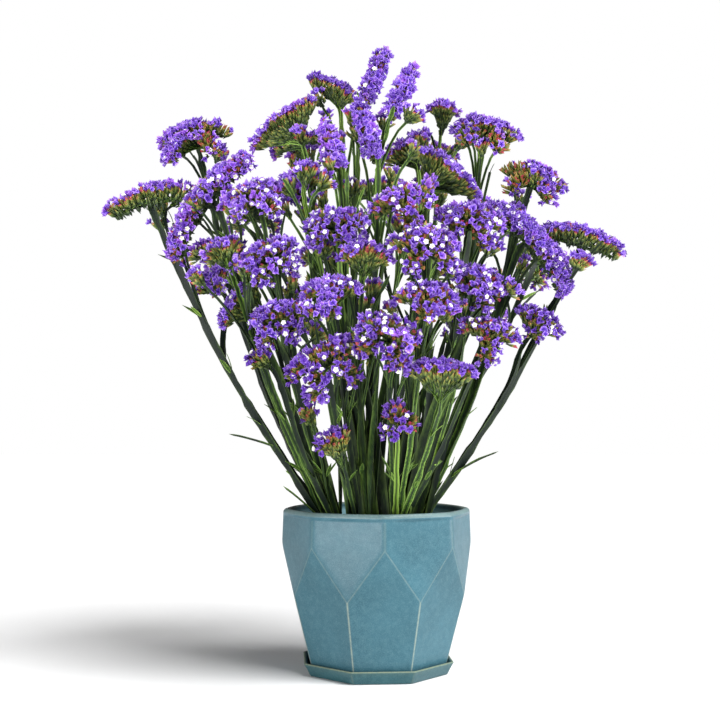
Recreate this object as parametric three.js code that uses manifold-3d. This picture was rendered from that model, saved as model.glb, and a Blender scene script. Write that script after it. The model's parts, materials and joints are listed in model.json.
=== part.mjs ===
// Potted statice (Limonium sinuatum): winged stems that fork into one-sided combs of papery violet florets, in a
// faceted glazed pot on an eight-sided saucer. Millimetres, +Z up, the front of the plant faces -Y. The origin is
// on the pot's axis, at the underside of the saucer.
import * as THREE from "three";
import Module from "manifold-3d";

const wasm = await Module();
wasm.setup();

// Driving sizes of the holder.
const SAUCER_HEIGHT = 10.6;
const SAUCER_FLOOR = 4;
const SAUCER_RADIUS = 66.5;
const POT_FOOT_RADIUS = 59.5;
const POT_WAIST_RADIUS = 75.7;
const POT_SHOULDER_RADIUS = 80.4;
const POT_RIM_RADIUS = 78.8;
const POT_HEIGHT = 135;
const POT_TURN = THREE.MathUtils.degToRad(4.5);
const DRAIN_RADIUS = 7;
const SOIL_LEVEL = 115;
const SEAT_GAP = 0.3;

// Driving sizes of the plant.
const CROWN_RADIUS = 8.5;
const CROWN_DEPTH = 24;
const CREST_HALF_WIDTH = 6;
const CREST_RISE = 5.6;
const FLORET_REACH = 6.4;
const FLORET_PITCH = 11.5;
const KEEL_HALF_WIDTH = 5.6;
const KEEL_TIP_DEPTH = 6;
const SIDE_COMB_DROP = 1.5;
const SIDE_COMB_GAP = 1.6;
const END_TAPER = 0.68;
const STEM_BOW = 0.03;
const NECK_LENGTH = 15;
const SEAT_SHARE = 0.55;
const SPIKE_SEAT = 4;
const LEAF_WIDTH = 5;
const LEAF_THICKNESS = 1.1;
const LEAF_DROOP = 0.12;
const LEAF_OUTLINE = [0.6, 1, 0.9, 0.14];
const SMALLEST_EDGE = 0.1;

const PAINT = {
  glaze: new THREE.MeshStandardMaterial({ color: 0x6a9fae, roughness: 0.35, metalness: 0 }),
  soil: new THREE.MeshStandardMaterial({ color: 0x33261c, roughness: 1, metalness: 0 }),
  leaf: new THREE.MeshStandardMaterial({ color: 0x4a6b2c, roughness: 0.7, metalness: 0 }),
  floret: new THREE.MeshStandardMaterial({ color: 0x6f47d8, roughness: 0.8, metalness: 0 }),
};

// How each kind of flower head carries its combs. The main comb is at the head's middle, square to its axis or
// dipped from that, and arched from end to end. Side combs leave the middle at a turn, a little lower.
const KINDS = {
  crest: { depth: 18, main: { both: true, dip: 0, arch: 45 }, sides: [] },
  dome: { depth: 16, main: { both: true, dip: 0, arch: 95 }, sides: [] },
  arc: { depth: 11, main: { both: true, dip: 0, arch: 62 }, sides: [] },
  spike: { depth: 7, main: { both: false, dip: -72, arch: 16 }, sides: [] },
  corymb: { depth: 14, main: { both: true, dip: 0, arch: 70 }, sides: [{ share: 0.62, turn: 90, dip: 10, arch: 38 }] },
  cluster: {
    depth: 15,
    main: { both: true, dip: 0, arch: 70 },
    sides: [
      { share: 0.62, turn: 54, dip: 12, arch: 38 },
      { share: 0.62, turn: 126, dip: 12, arch: 38 },
    ],
  },
  bud: { depth: 11, main: { both: true, dip: 0, arch: 60 }, sides: [] },
};

// Every spray: the foot of its crown on the soil, and its heads. A head is [name, kind, x, y, z, length, lean to the
// right, pitch to the front, turn of the comb, the head whose stem it forks from (or null), how far up it forks].
const SPRAYS = {
  left: {
    foot: [-37, 2],
    heads: [
      ["left_arch", "arc", -148, -38, 390, 104, -58, 34, 12, null, 0],
      ["left_reach", "arc", -192, -12, 402, 78, -12, 14, 0, null, 0],
      ["left_crown", "cluster", -160, 14, 463, 60, -12, 22, 10, "left_arch", 0.6],
      ["left_low", "corymb", -145, 30, 334, 34, -30, 20, 0, "left_reach", 0.55],
      ["left_rear", "corymb", -152, 74, 366, 48, -34, -34, 150, null, 0],
    ],
  },
  left_front: {
    foot: [-28, -20],
    heads: [
      ["flank_top", "cluster", -98, -66, 393, 42, -14, 30, 10, null, 0],
      ["flank_tuft", "dome", -122, -72, 346, 26, -16, 20, 0, null, 0],
      ["flank_side", "crest", -114, -42, 306, 42, -54, 24, 0, null, 0],
      ["flank_bud", "bud", -93, -78, 258, 15, -40, 30, 0, null, 0],
      ["flank_mid", "cluster", -85, -88, 340, 38, -16, 42, -12, null, 0],
      ["flank_low", "cluster", -76, -98, 291, 40, -26, 42, 24, "flank_mid", 0.5],
      ["skirt_bud", "bud", -54, -73, 214, 13, -20, 36, 0, null, 0],
    ],
  },
  front_left: {
    foot: [-12, -38],
    heads: [
      ["front_left_fan", "cluster", -42, -132, 256, 50, -20, 50, -8, null, 0],
      ["front_left_dome", "corymb", -34, -124, 308, 38, -8, 24, 8, null, 0],
      ["front_mid_dome", "dome", -8, -112, 336, 36, 6, 24, -10, null, 0],
      ["skirt_left", "crest", -33, -108, 193, 22, -20, 44, 0, "front_left_fan", 0.18],
    ],
  },
  front_right: {
    foot: [14, -39],
    heads: [
      ["front_mid_fan", "cluster", 9, -142, 275, 42, 0, 56, 20, null, 0],
      ["front_right_dome", "corymb", 36, -134, 302, 38, 4, 26, 0, null, 0],
      ["front_right_top", "cluster", 36, -114, 346, 46, 8, 40, -24, null, 0],
      ["front_right_row", "crest", 48, -130, 246, 44, 4, 24, 0, null, 0],
      ["front_right_fan", "corymb", 86, -110, 278, 42, 20, 40, -10, null, 0],
      ["front_right_high", "cluster", 80, -98, 318, 40, 18, 40, 14, "front_right_fan", 0.4],
      ["skirt_right", "corymb", 18, -112, 210, 22, 10, 52, 30, null, 0],
    ],
  },
  centre: {
    foot: [-8, -19],
    heads: [
      ["centre_spike", "spike", -2, -46, 422, 46, -14, 12, -90, null, 0],
      ["centre_left_spike", "spike", -32, -62, 410, 34, -14, 16, -90, null, 0],
      ["centre_bud", "bud", -56, -77, 407, 15, 2, 10, 0, "centre_left_spike", 0.5],
      ["centre_row", "cluster", -32, -86, 366, 42, -6, 42, 14, null, 0],
      ["centre_right_row", "corymb", 18, -84, 384, 44, -18, 42, -4, "centre_spike", 0.4],
      ["centre_left", "corymb", -68, -30, 408, 40, -18, 24, 6, null, 0],
    ],
  },
  crown: {
    foot: [3, 2],
    heads: [
      ["top_spike", "spike", -10, -4, 480, 50, 18, 6, -90, null, 0],
      ["top_right_spike", "spike", 12, -33, 460, 42, 22, 10, -90, "top_spike", 0.5],
      ["top_left_fan", "crest", -38, 20, 500, 38, -12, 4, 4, null, 0],
      ["high_left_fan", "crest", -82, -5, 464, 60, -38, 6, 0, "top_left_fan", 0.45],
      ["high_mid_fan", "crest", 24, 6, 444, 38, -22, 10, 0, null, 0],
      ["top_tuft", "dome", 59, 22, 482, 20, 6, 4, 0, "high_mid_fan", 0.5],
    ],
  },
  right: {
    foot: [28, -4],
    heads: [
      ["high_right_fan", "crest", 62, -28, 416, 58, 38, 8, 0, null, 0],
      ["top_right", "cluster", 97, 4, 462, 50, 12, 20, 10, null, 0],
      ["right_crown", "cluster", 138, 14, 424, 52, 18, 24, 0, null, 0],
      ["right_arch", "arc", 134, -30, 358, 96, 52, 34, -12, null, 0],
      ["right_reach", "arc", 174, -8, 366, 72, 14, 14, 0, null, 0],
      ["right_low", "corymb", 132, -52, 290, 32, 30, 26, 0, "right_reach", 0.45],
      ["right_row", "cluster", 74, -72, 372, 48, 4, 36, 6, null, 0],
      ["right_rear", "corymb", 152, 70, 360, 46, 34, -34, -150, "right_crown", 0.4],
    ],
  },
  back: {
    foot: [0, 24],
    heads: [
      ["back_top_left", "corymb", -72, 66, 464, 48, -18, -20, 172, null, 0],
      ["back_top_right", "corymb", 50, 74, 458, 46, 14, -22, -170, null, 0],
      ["back_high", "corymb", -4, 116, 430, 50, 0, -34, 200, "back_top_right", 0.45],
      ["back_left", "corymb", -120, 98, 408, 48, -26, -30, 210, "back_top_left", 0.45],
      ["back_right", "corymb", 108, 92, 402, 48, 24, -30, 150, null, 0],
      ["back_mid_left", "corymb", -50, 136, 374, 42, -10, -40, 192, null, 0],
      ["back_mid_right", "cluster", 54, 140, 366, 44, 10, -46, 170, null, 0],
      ["back_low_left", "corymb", -84, 118, 318, 44, -26, -50, 196, "back_mid_left", 0.4],
      ["back_low_right", "corymb", 92, 118, 318, 44, 26, -50, 166, "back_mid_right", 0.4],
    ],
  },
};

// Long narrow leaves low on the stems: the head whose stem bears the leaf, how far up, the way it points (degrees
// round from the front, to the right), rise above level in degrees, length.
const LEAVES = [
  ["left_reach", 0.26, -90, 22, 42],
  ["left_arch", 0.07, -104, 64, 44],
  ["flank_mid", 0.14, -50, 66, 44],
  ["front_left_fan", 0.16, -40, 70, 44],
  ["front_mid_dome", 0.1, -8, 74, 44],
  ["front_right_dome", 0.14, 24, 72, 46],
  ["front_right_fan", 0.12, 58, 64, 40],
  ["right_reach", 0.2, 84, 34, 44],
  ["right_arch", 0.05, 78, 62, 34],
  ["back_right", 0.12, 150, 48, 46],
  ["back_left", 0.14, -150, 52, 44],
];

const at = (x, y, z) => new THREE.Vector3(x, y, z);
const radians = THREE.MathUtils.degToRad;
const mix = THREE.MathUtils.lerp;

// A number from -1 to 1 that depends only on its seeds, for the small unevenness of grown things.
function uneven(...seeds) {
  const sum = seeds.reduce((total, seed, place) => total + seed * (12.9898 + 65.233 * place), 0.5);
  const wave = Math.sin(sum) * 43758.5453;
  return (wave - Math.floor(wave)) * 2 - 1;
}

// A closed solid from points and triangles that all turn the same way round.
function solidOf(points, faces) {
  const positions = new Float32Array(points.flatMap((p) => [p.x, p.y, p.z]));
  let sixfoldVolume = 0;
  for (const [a, b, c] of faces) sixfoldVolume += points[a].dot(at(0, 0, 0).crossVectors(points[b], points[c]));
  const outward = sixfoldVolume > 0 ? faces : faces.map(([a, b, c]) => [a, c, b]);
  const triVerts = new Uint32Array(outward.flat());
  return new wasm.Manifold(new wasm.Mesh({ numProp: 3, vertProperties: positions, triVerts }));
}

// A skin over rings of points. Open ends are capped flat; a looped skin joins its last ring to its first.
function skin(rings, { looped = false, diagonal = () => false } = {}) {
  const points = rings.flat();
  const size = rings[0].length;
  const faces = [];
  const steps = looped ? rings.length : rings.length - 1;
  for (let ring = 0; ring < steps; ring += 1) {
    const low = ring * size;
    const high = ((ring + 1) % rings.length) * size;
    for (let i = 0; i < size; i += 1) {
      const next = (i + 1) % size;
      if (diagonal(ring, i)) faces.push([low + i, low + next, high + i], [low + next, high + next, high + i]);
      else faces.push([low + i, low + next, high + next], [low + i, high + next, high + i]);
    }
  }
  if (!looped) {
    const last = (rings.length - 1) * size;
    for (let i = 1; i < size - 1; i += 1) faces.push([0, i + 1, i], [last, last + i, last + i + 1]);
  }
  return solidOf(points, faces);
}

function joined(solids) {
  return solids.reduce((whole, piece) => whole.add(piece));
}

function meshOf(name, solid, material) {
  const made = solid.getMesh();
  const geometry = new THREE.BufferGeometry();
  geometry.setAttribute("position", new THREE.BufferAttribute(new Float32Array(made.vertProperties), 3));
  geometry.setIndex(new THREE.BufferAttribute(new Uint32Array(made.triVerts), 1));
  const mesh = new THREE.Mesh(geometry, material);
  mesh.name = name;
  return mesh;
}

// A ring of points about the pot's axis; radiusAt gives the radius of each corner.
function potRing(corners, z, radiusAt) {
  return Array.from({ length: corners }, (_, i) => {
    const angle = POT_TURN + (i * 2 * Math.PI) / corners;
    const radius = typeof radiusAt === "number" ? radiusAt : radiusAt(i);
    return at(radius * Math.sin(angle), -radius * Math.cos(angle), z);
  });
}

// Heights and inner radii of the pot's cavity, from its floor to its lip.
const POT_FLOOR = 13;
const WAIST_HEIGHT = 68.8;
const SHOULDER_HEIGHT = 104.3;
const CAVITY = [
  [POT_FLOOR, 49],
  [WAIST_HEIGHT, 64],
  [SHOULDER_HEIGHT, 69],
  [130, 70.4],
];

function cavityRadius(z) {
  const above = CAVITY.findIndex(([height]) => height >= z);
  const [z0, r0] = CAVITY[above - 1];
  const [z1, r1] = CAVITY[above];
  return mix(r0, r1, (z - z0) / (z1 - z0));
}

// Corners alternate: the even ones run up the middle of the lower facets, the odd ones up their edges.
function potSolid() {
  const corners = 16;
  const flat = Math.cos(Math.PI / 8);
  const edgesOdd = (radius) => (i) => (i % 2 ? radius : radius * flat);
  const edgesEven = (radius, fullness = 0) => (i) => (i % 2 ? radius * mix(flat, 1, fullness) : radius);
  const foot = SAUCER_FLOOR + SEAT_GAP;
  const rings = [
    potRing(corners, foot, DRAIN_RADIUS),
    potRing(corners, foot, edgesOdd(POT_FOOT_RADIUS - 1.2)),
    potRing(corners, foot + 1.2, edgesOdd(POT_FOOT_RADIUS)),
    potRing(corners, WAIST_HEIGHT, edgesOdd(POT_WAIST_RADIUS)),
    potRing(corners, SHOULDER_HEIGHT, edgesEven(POT_SHOULDER_RADIUS)),
    potRing(corners, POT_HEIGHT - 7, edgesEven(POT_RIM_RADIUS + 0.4, 0.12)),
    potRing(corners, POT_HEIGHT - 3, edgesEven(POT_RIM_RADIUS, 0.7)),
    potRing(corners, POT_HEIGHT - 0.8, edgesEven(POT_RIM_RADIUS - 1.4, 0.9)),
    potRing(corners, POT_HEIGHT, POT_RIM_RADIUS - 4),
    potRing(corners, POT_HEIGHT - 1, POT_RIM_RADIUS - 6.6),
    ...CAVITY.toReversed().map(([z, radius]) => potRing(corners, z, radius)),
    potRing(corners, POT_FLOOR - 0.6, DRAIN_RADIUS),
  ];
  return skin(rings, { looped: true, diagonal: (ring, i) => i % 2 === 0 });
}

function saucerSolid() {
  const corners = 8;
  const turned = (z, radius) => potRing(corners, z, radius).map((p) => p.applyAxisAngle(at(0, 0, 1), Math.PI / 8));
  return skin([
    turned(0, SAUCER_RADIUS - 5.5),
    turned(SAUCER_HEIGHT - 0.8, SAUCER_RADIUS),
    turned(SAUCER_HEIGHT, SAUCER_RADIUS - 0.7),
    turned(SAUCER_HEIGHT, SAUCER_RADIUS - 1.9),
    turned(SAUCER_HEIGHT - 0.8, SAUCER_RADIUS - 2.8),
    turned(SAUCER_FLOOR, POT_FOOT_RADIUS + 1),
  ]);
}

// The soil fills the pot to below its lip, a little mounded, with a plain hole for the crown of each spray.
function soilSolid() {
  const corners = 16;
  const edge = (z) => potRing(corners, z, cavityRadius(z) - 0.5);
  const mound = (z, share) => potRing(corners, z, (i) => cavityRadius(SOIL_LEVEL) * share * (1 + 0.04 * uneven(i, z)));
  const floor = POT_FLOOR + SEAT_GAP;
  const body = skin([
    potRing(corners, floor, CAVITY[0][1] - 0.5),
    edge(WAIST_HEIGHT),
    edge(SHOULDER_HEIGHT),
    edge(SOIL_LEVEL - 2),
    mound(SOIL_LEVEL, 0.9),
    mound(SOIL_LEVEL + 1.4, 0.68),
  ]);
  return Object.values(SPRAYS).reduce((soil, { foot }) => soil.subtract(crownHole(foot)), body);
}

// The stub that each spray stands on, and the plain hole for it.
function crownPlug(foot, radius, from, to, corners) {
  const rings = [from, to].map((z) =>
    Array.from({ length: corners }, (_, i) => {
      const angle = (i * 2 * Math.PI) / corners;
      return at(foot[0] + radius * Math.cos(angle), foot[1] + radius * Math.sin(angle), z);
    }),
  );
  return skin(rings);
}

const crownHole = (foot) => crownPlug(foot, CROWN_RADIUS + 0.8, SOIL_LEVEL - CROWN_DEPTH, SOIL_LEVEL + 10, 8);
const crownStub = (foot) => crownPlug(foot, CROWN_RADIUS, SOIL_LEVEL - CROWN_DEPTH + SEAT_GAP, SOIL_LEVEL + 5, 8);

// The frame of a head: its axis points out of the plant, and across is the way its main comb runs.
function headFrame(lean, pitch, turn) {
  const axis = at(Math.sin(radians(lean)), 0, Math.cos(radians(lean)));
  const right = at(Math.cos(radians(lean)), 0, -Math.sin(radians(lean)));
  axis.applyAxisAngle(right, radians(pitch));
  const across = right.clone().applyAxisAngle(axis, radians(-turn));
  return { axis, across };
}

// A comb's own frame and extent: it arches away from the side that its florets face.
function combOf(head, { share = 1, both = false, turn = 0, dip, arch }) {
  const across = head.across.clone().applyAxisAngle(head.axis, radians(-turn));
  const side = at(0, 0, 0).crossVectors(across, head.axis);
  const along = across.clone().applyAxisAngle(side, radians(-dip));
  const normal = head.axis.clone().applyAxisAngle(side, radians(-dip));
  const length = head.length * share;
  const start = head.centre.clone();
  if (turn) start.addScaledVector(head.axis, -SIDE_COMB_DROP);
  const bare = turn ? bareLength(turn) : 0;
  return { start, along, normal, side, length, both, bare, bend: radians(arch) / length, depth: head.depth };
}

// How far from the middle a side comb's florets start, so that they clear the green of the main comb.
function bareLength(turn) {
  const halfEnd = CREST_HALF_WIDTH * END_TAPER;
  const reach = KEEL_HALF_WIDTH + halfEnd * Math.abs(Math.cos(radians(turn)));
  return reach / Math.sin(radians(turn)) + SIDE_COMB_GAP;
}

// Position and directions at a distance s along a comb.
function combPoint(comb, s) {
  const angle = s * comb.bend;
  const place = comb.start
    .clone()
    .addScaledVector(comb.along, Math.sin(angle) / comb.bend)
    .addScaledVector(comb.normal, (Math.cos(angle) - 1) / comb.bend);
  const along = comb.along.clone().multiplyScalar(Math.cos(angle)).addScaledVector(comb.normal, -Math.sin(angle));
  const up = comb.normal.clone().multiplyScalar(Math.cos(angle)).addScaledVector(comb.along, Math.sin(angle));
  return { place, along, up, side: comb.side };
}

// The stations of a comb, one floret apart; a side comb is bare where it leaves the main one.
function stations(comb) {
  const columns = Math.max(2, Math.round((comb.length - comb.bare) / FLORET_PITCH));
  const from = comb.both ? -comb.length / 2 : comb.bare;
  const to = comb.both ? comb.length / 2 : comb.length;
  return Array.from({ length: columns + 1 }, (_, i) => mix(from, to, i / columns));
}

const offset = (p, across, rise) => p.place.clone().addScaledVector(p.side, across).addScaledVector(p.up, rise);

// The green underside of a comb: a fan of bracts that narrows to the stem, ribbed by its spikelets.
function keel(comb) {
  const all = comb.bare ? [0, ...stations(comb)] : stations(comb);
  const rings = all.map((s, i) => {
    const p = combPoint(comb, s);
    const outward = Math.abs(s) / (comb.both ? comb.length / 2 : comb.length);
    const end = i === 0 || i === all.length - 1;
    const width = KEEL_HALF_WIDTH * (end ? END_TAPER : 1) * (i % 2 ? 0.82 : 1);
    const bottom = -mix(comb.depth, KEEL_TIP_DEPTH, outward);
    return [offset(p, -width, 0), offset(p, width, 0), offset(p, 0, bottom)];
  });
  return skin(rings);
}

// The violet top of a comb: two rows of flared florets, each raised from its own cell of the ridge.
function crest(comb, seed) {
  const all = stations(comb);
  const points = all.flatMap((s, i) => {
    const p = combPoint(comb, s);
    const end = i === 0 || i === all.length - 1;
    const half = CREST_HALF_WIDTH * (end ? END_TAPER : 1);
    return [
      offset(p, -half, SEAT_GAP),
      offset(p, (i % 2 ? 0.8 : -0.8) * (end ? 0 : 1), SEAT_GAP + CREST_RISE * (end ? 0.8 : 1)),
      offset(p, half, SEAT_GAP),
    ];
  });
  const faces = [];
  for (let i = 0; i < all.length - 1; i += 1) {
    const here = 3 * i;
    const next = here + 3;
    const p = combPoint(comb, (all[i] + all[i + 1]) / 2);
    const tip = (i === all.length - 2 ? 0.5 : 0) - (i === 0 ? 0.5 : 0);
    for (const row of [-1, 1]) {
      const cell = row < 0 ? [here, next, next + 1, here + 1] : [here + 1, next + 1, next + 2, here + 2];
      const lean = tip + 0.1 * uneven(seed, i, row);
      const facing = p.up.clone().addScaledVector(p.side, 0.56 * row).addScaledVector(p.along, lean).normalize();
      raiseFloret(points, faces, cell, p, facing, seed + 7 * i + row);
    }
    faces.push([next, here, here + 2], [next, here + 2, next + 2]);
  }
  const last = 3 * (all.length - 1);
  faces.push([0, 1, 2], [last + 1, last, last + 2]);
  return solidOf(points, faces);
}

// One floret: a funnel that flares from the four corners of its cell to a ruffled rim about a hollow heart.
function raiseFloret(points, faces, cell, frame, facing, seed) {
  const corners = cell.map((index) => points[index]);
  const middle = corners.reduce((sum, c) => sum.add(c), at(0, 0, 0)).multiplyScalar(0.25);
  const rim = corners.map((corner, i) => {
    const spread = corner.clone().sub(middle);
    spread.addScaledVector(facing, -spread.dot(facing));
    const lengthwise = spread.dot(frame.along);
    spread.multiplyScalar(1.3).addScaledVector(frame.along, -0.38 * lengthwise);
    const reach = FLORET_REACH + 0.7 * uneven(seed, i);
    return middle.clone().addScaledVector(facing, reach).add(spread);
  });
  const heart = middle.clone().addScaledVector(facing, FLORET_REACH * 0.45);
  const first = points.length;
  points.push(...rim, heart);
  for (let i = 0; i < 4; i += 1) {
    const next = (i + 1) % 4;
    faces.push([cell[i], cell[next], first + next], [cell[i], first + next, first + i]);
    faces.push([first + i, first + next, first + 4]);
  }
}

// Every head with its frame, its combs and the place where its stem ends.
function readHead([name, kind, x, y, z, length, lean, pitch, turn, parent, forkAt]) {
  const { depth, main, sides } = KINDS[kind];
  const head = { name, kind, centre: at(x, y, z), length, depth, parent, forkAt, ...headFrame(lean, pitch, turn) };
  head.combs = [main, ...sides].map((comb) => combOf(head, comb));
  const [comb] = head.combs;
  const root = combPoint(comb, comb.both ? 0 : SPIKE_SEAT);
  head.seat = offset(root, 0, -SEAT_SHARE * depth);
  head.neck = head.seat.clone().addScaledVector(comb.both ? root.up : root.along, -NECK_LENGTH - 0.5 * depth);
  return head;
}

// A stem's line, from the crown or from the stem it forks off to the seat of its head; it bows outward a little.
function stemLine(head, foot, lines) {
  const parent = lines.get(head.parent);
  const start = parent ? pointUp(parent, head.forkAt) : at(foot[0], foot[1], SOIL_LEVEL + 3);
  const straight = head.neck.clone().sub(start);
  if (!parent) start.addScaledVector(at(straight.x, straight.y, 0).normalize(), CROWN_RADIUS * 0.5);
  const middle = start.clone().add(head.neck).multiplyScalar(0.5);
  middle.addScaledVector(at(middle.x, middle.y, 0).normalize(), straight.length() * STEM_BOW);
  return [start, middle, head.neck, head.seat];
}

// The point at a share of the way up a stem, from its start to its neck.
function pointUp([start, middle, neck], share) {
  if (share < 0.5) return start.clone().lerp(middle, share * 2);
  return middle.clone().lerp(neck, share * 2 - 1);
}

// A three-winged stem, three-cornered in section, that narrows upward.
function stem(line, wingAtFoot, wingAtHead) {
  const rings = line.map((centre, i) => {
    const along = line[Math.min(i + 1, line.length - 1)].clone().sub(line[Math.max(i - 1, 0)]).normalize();
    const right = at(0, 0, 0).crossVectors(along, at(0, -1, 0)).normalize();
    const front = at(0, 0, 0).crossVectors(right, along);
    const wing = mix(wingAtFoot, wingAtHead, i / (line.length - 1));
    return [-Math.PI / 6, Math.PI / 2, (Math.PI * 7) / 6].map((angle) =>
      centre
        .clone()
        .addScaledVector(right, wing * Math.cos(angle))
        .addScaledVector(front, wing * Math.sin(angle)),
    );
  });
  return skin(rings);
}

// A narrow pointed leaf, thickest at its rib, that bends over towards its tip.
function blade(start, around, rise, length) {
  const level = at(Math.sin(radians(around)), -Math.cos(radians(around)), 0);
  const heading = level.clone().multiplyScalar(Math.cos(radians(rise))).setZ(Math.sin(radians(rise)));
  const side = at(level.y, -level.x, 0);
  const rings = LEAF_OUTLINE.map((share, i) => {
    const t = i / (LEAF_OUTLINE.length - 1);
    const bent = heading.clone().addScaledVector(at(0, 0, -1), LEAF_DROOP * t).normalize();
    const place = start.clone().addScaledVector(bent, length * t);
    const below = at(0, 0, 0).crossVectors(bent, side).normalize();
    const half = (LEAF_WIDTH / 2) * share;
    return [
      place.clone().addScaledVector(side, half),
      place.clone().addScaledVector(side, -half),
      place.clone().addScaledVector(below, LEAF_THICKNESS),
    ];
  });
  return skin(rings);
}

// One spray: its crown, its stems and leaves, and the green of its heads, as one grown body.
function spraySolid(spray) {
  const lines = new Map();
  const pieces = [crownStub(spray.foot)];
  for (const head of spray.heads) {
    const line = stemLine(head, spray.foot, lines);
    lines.set(head.name, line);
    pieces.push(head.parent ? stem(line, 2.7, 2.1) : stem(line, 3.5, 2.7));
    pieces.push(...head.combs.map((comb) => keel(comb)));
    if (head.kind === "bud") pieces.push(...head.combs.map((comb) => crest(sunk(comb), head.centre.x)));
  }
  for (const [bearer, share, around, rise, length] of LEAVES) {
    if (lines.has(bearer)) pieces.push(blade(pointUp(lines.get(bearer), share), around, rise, length));
  }
  return joined(pieces).asOriginal().simplify(SMALLEST_EDGE);
}

// A bud's florets are still in its bracts, so they grow into its green.
const sunk = (comb) => ({ ...comb, start: comb.start.clone().addScaledVector(comb.normal, -1.2) });

function headSolid(head) {
  const violet = joined(head.combs.map((comb, i) => crest(comb, head.centre.x + 31 * i)));
  return violet.asOriginal().simplify(SMALLEST_EDGE);
}

const statice = new THREE.Group();
statice.name = "potted_statice";
statice.add(meshOf("saucer", saucerSolid(), PAINT.glaze));
statice.add(meshOf("pot", potSolid(), PAINT.glaze));
statice.add(meshOf("soil", soilSolid(), PAINT.soil));
for (const [name, { foot, heads }] of Object.entries(SPRAYS)) {
  const spray = { name, foot, heads: heads.map(readHead) };
  statice.add(meshOf("stems_" + name, spraySolid(spray), PAINT.leaf));
  for (const head of spray.heads) {
    if (head.kind !== "bud") statice.add(meshOf("bloom_" + head.name, headSolid(head), PAINT.floret));
  }
}

export default statice;
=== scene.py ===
"""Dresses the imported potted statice: florets, bracts, winged stems, leaves, soil and faceted glazed pottery.

Lengths in the tables and classes are millimetres, as in the part's source, and turn to metres in the meshes.
"""

import json
import logging
import math
import random
from collections.abc import Iterable, Sequence
from dataclasses import dataclass, field, replace
from enum import Enum

import bpy
import numpy as np
from mathutils import Matrix, Quaternion, Vector

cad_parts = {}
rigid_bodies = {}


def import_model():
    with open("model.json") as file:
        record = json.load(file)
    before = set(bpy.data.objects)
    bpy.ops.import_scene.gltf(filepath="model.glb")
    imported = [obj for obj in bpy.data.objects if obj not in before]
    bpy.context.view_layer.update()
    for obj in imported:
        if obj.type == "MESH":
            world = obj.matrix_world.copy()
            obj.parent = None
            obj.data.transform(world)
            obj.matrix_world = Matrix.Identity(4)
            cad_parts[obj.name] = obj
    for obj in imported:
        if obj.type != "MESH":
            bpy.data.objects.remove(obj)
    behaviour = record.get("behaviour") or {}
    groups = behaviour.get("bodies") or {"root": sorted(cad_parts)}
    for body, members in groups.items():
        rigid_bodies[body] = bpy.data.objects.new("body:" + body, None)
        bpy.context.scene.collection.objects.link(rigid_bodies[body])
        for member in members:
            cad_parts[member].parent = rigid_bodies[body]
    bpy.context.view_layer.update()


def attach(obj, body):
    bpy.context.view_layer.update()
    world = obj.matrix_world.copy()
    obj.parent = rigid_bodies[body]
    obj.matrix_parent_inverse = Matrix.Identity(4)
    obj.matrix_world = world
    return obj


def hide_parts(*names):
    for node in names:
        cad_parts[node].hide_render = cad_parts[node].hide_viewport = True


LOG = logging.getLogger("statice")
MM = 0.001
BODY = "root"
UP = Vector((0, 0, 1))
Pair = tuple[float, float]
Point = tuple[float, float, float]
Numbers = tuple[float, ...]
Stops = tuple[tuple[float, str], ...]
Mesh = bpy.types.Mesh
Material = bpy.types.Material
Socket = bpy.types.NodeSocket


class Slot(Enum):
    """The record's material slots."""

    GLAZE = "glaze"
    SOIL = "soil"
    FOLIAGE = "foliage"
    FLORET = "floret"


def paint(code: str) -> tuple[float, float, float, float]:
    """Turns a screen's colour, as six hexadecimal digits, into the linear one that a shader takes."""
    parts = [int(code[i : i + 2], 16) / 255 for i in (0, 2, 4)]
    return (*(c / 12.92 if c <= 0.04045 else ((c + 0.055) / 1.055) ** 2.4 for c in parts), 1.0)


def clamped(value: float) -> float:
    """A number kept between 0 and 1."""
    return min(max(value, 0.0), 1.0)


def line_of(distance: float | np.ndarray, width: float) -> float | np.ndarray:
    """A soft line: 1 on it, and fading over its width."""
    return np.exp(-((distance / width) ** 2))


class Value:
    """A number that varies over a surface; Python arithmetic on it adds Math nodes."""

    def __init__(self, nodes: "Nodes", socket: Socket) -> None:
        """Wraps an output socket of a tree that nodes builds."""
        self.nodes = nodes
        self.socket = socket

    def math(self, operation: str, *operands: "Value | float") -> "Value":
        """Adds one Math node with its inputs in order, and wraps its result."""
        made = self.nodes.add("ShaderNodeMath", {"operation": operation}, dict(enumerate(operands)))
        return Value(self.nodes, made.outputs[0])

    def __add__(self, other: "Value | float") -> "Value":
        """The sum."""
        return self.math("ADD", self, other)

    def __radd__(self, other: float) -> "Value":
        """The sum, number first."""
        return self.math("ADD", other, self)

    def __sub__(self, other: "Value | float") -> "Value":
        """The difference."""
        return self.math("SUBTRACT", self, other)

    def __rsub__(self, other: float) -> "Value":
        """The difference, number first."""
        return self.math("SUBTRACT", other, self)

    def __mul__(self, other: "Value | float") -> "Value":
        """The product."""
        return self.math("MULTIPLY", self, other)

    def __rmul__(self, other: float) -> "Value":
        """The product, number first."""
        return self.math("MULTIPLY", other, self)

    def held(self) -> "Value":
        """The value kept between 0 and 1."""
        return self.math("MINIMUM", self.math("MAXIMUM", self, 0.0), 1.0)

    def rise(self, low: float, high: float) -> "Value":
        """How far the value has gone from low to high, kept between 0 and 1."""
        return ((self - low) * (1 / (high - low))).held()


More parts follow.
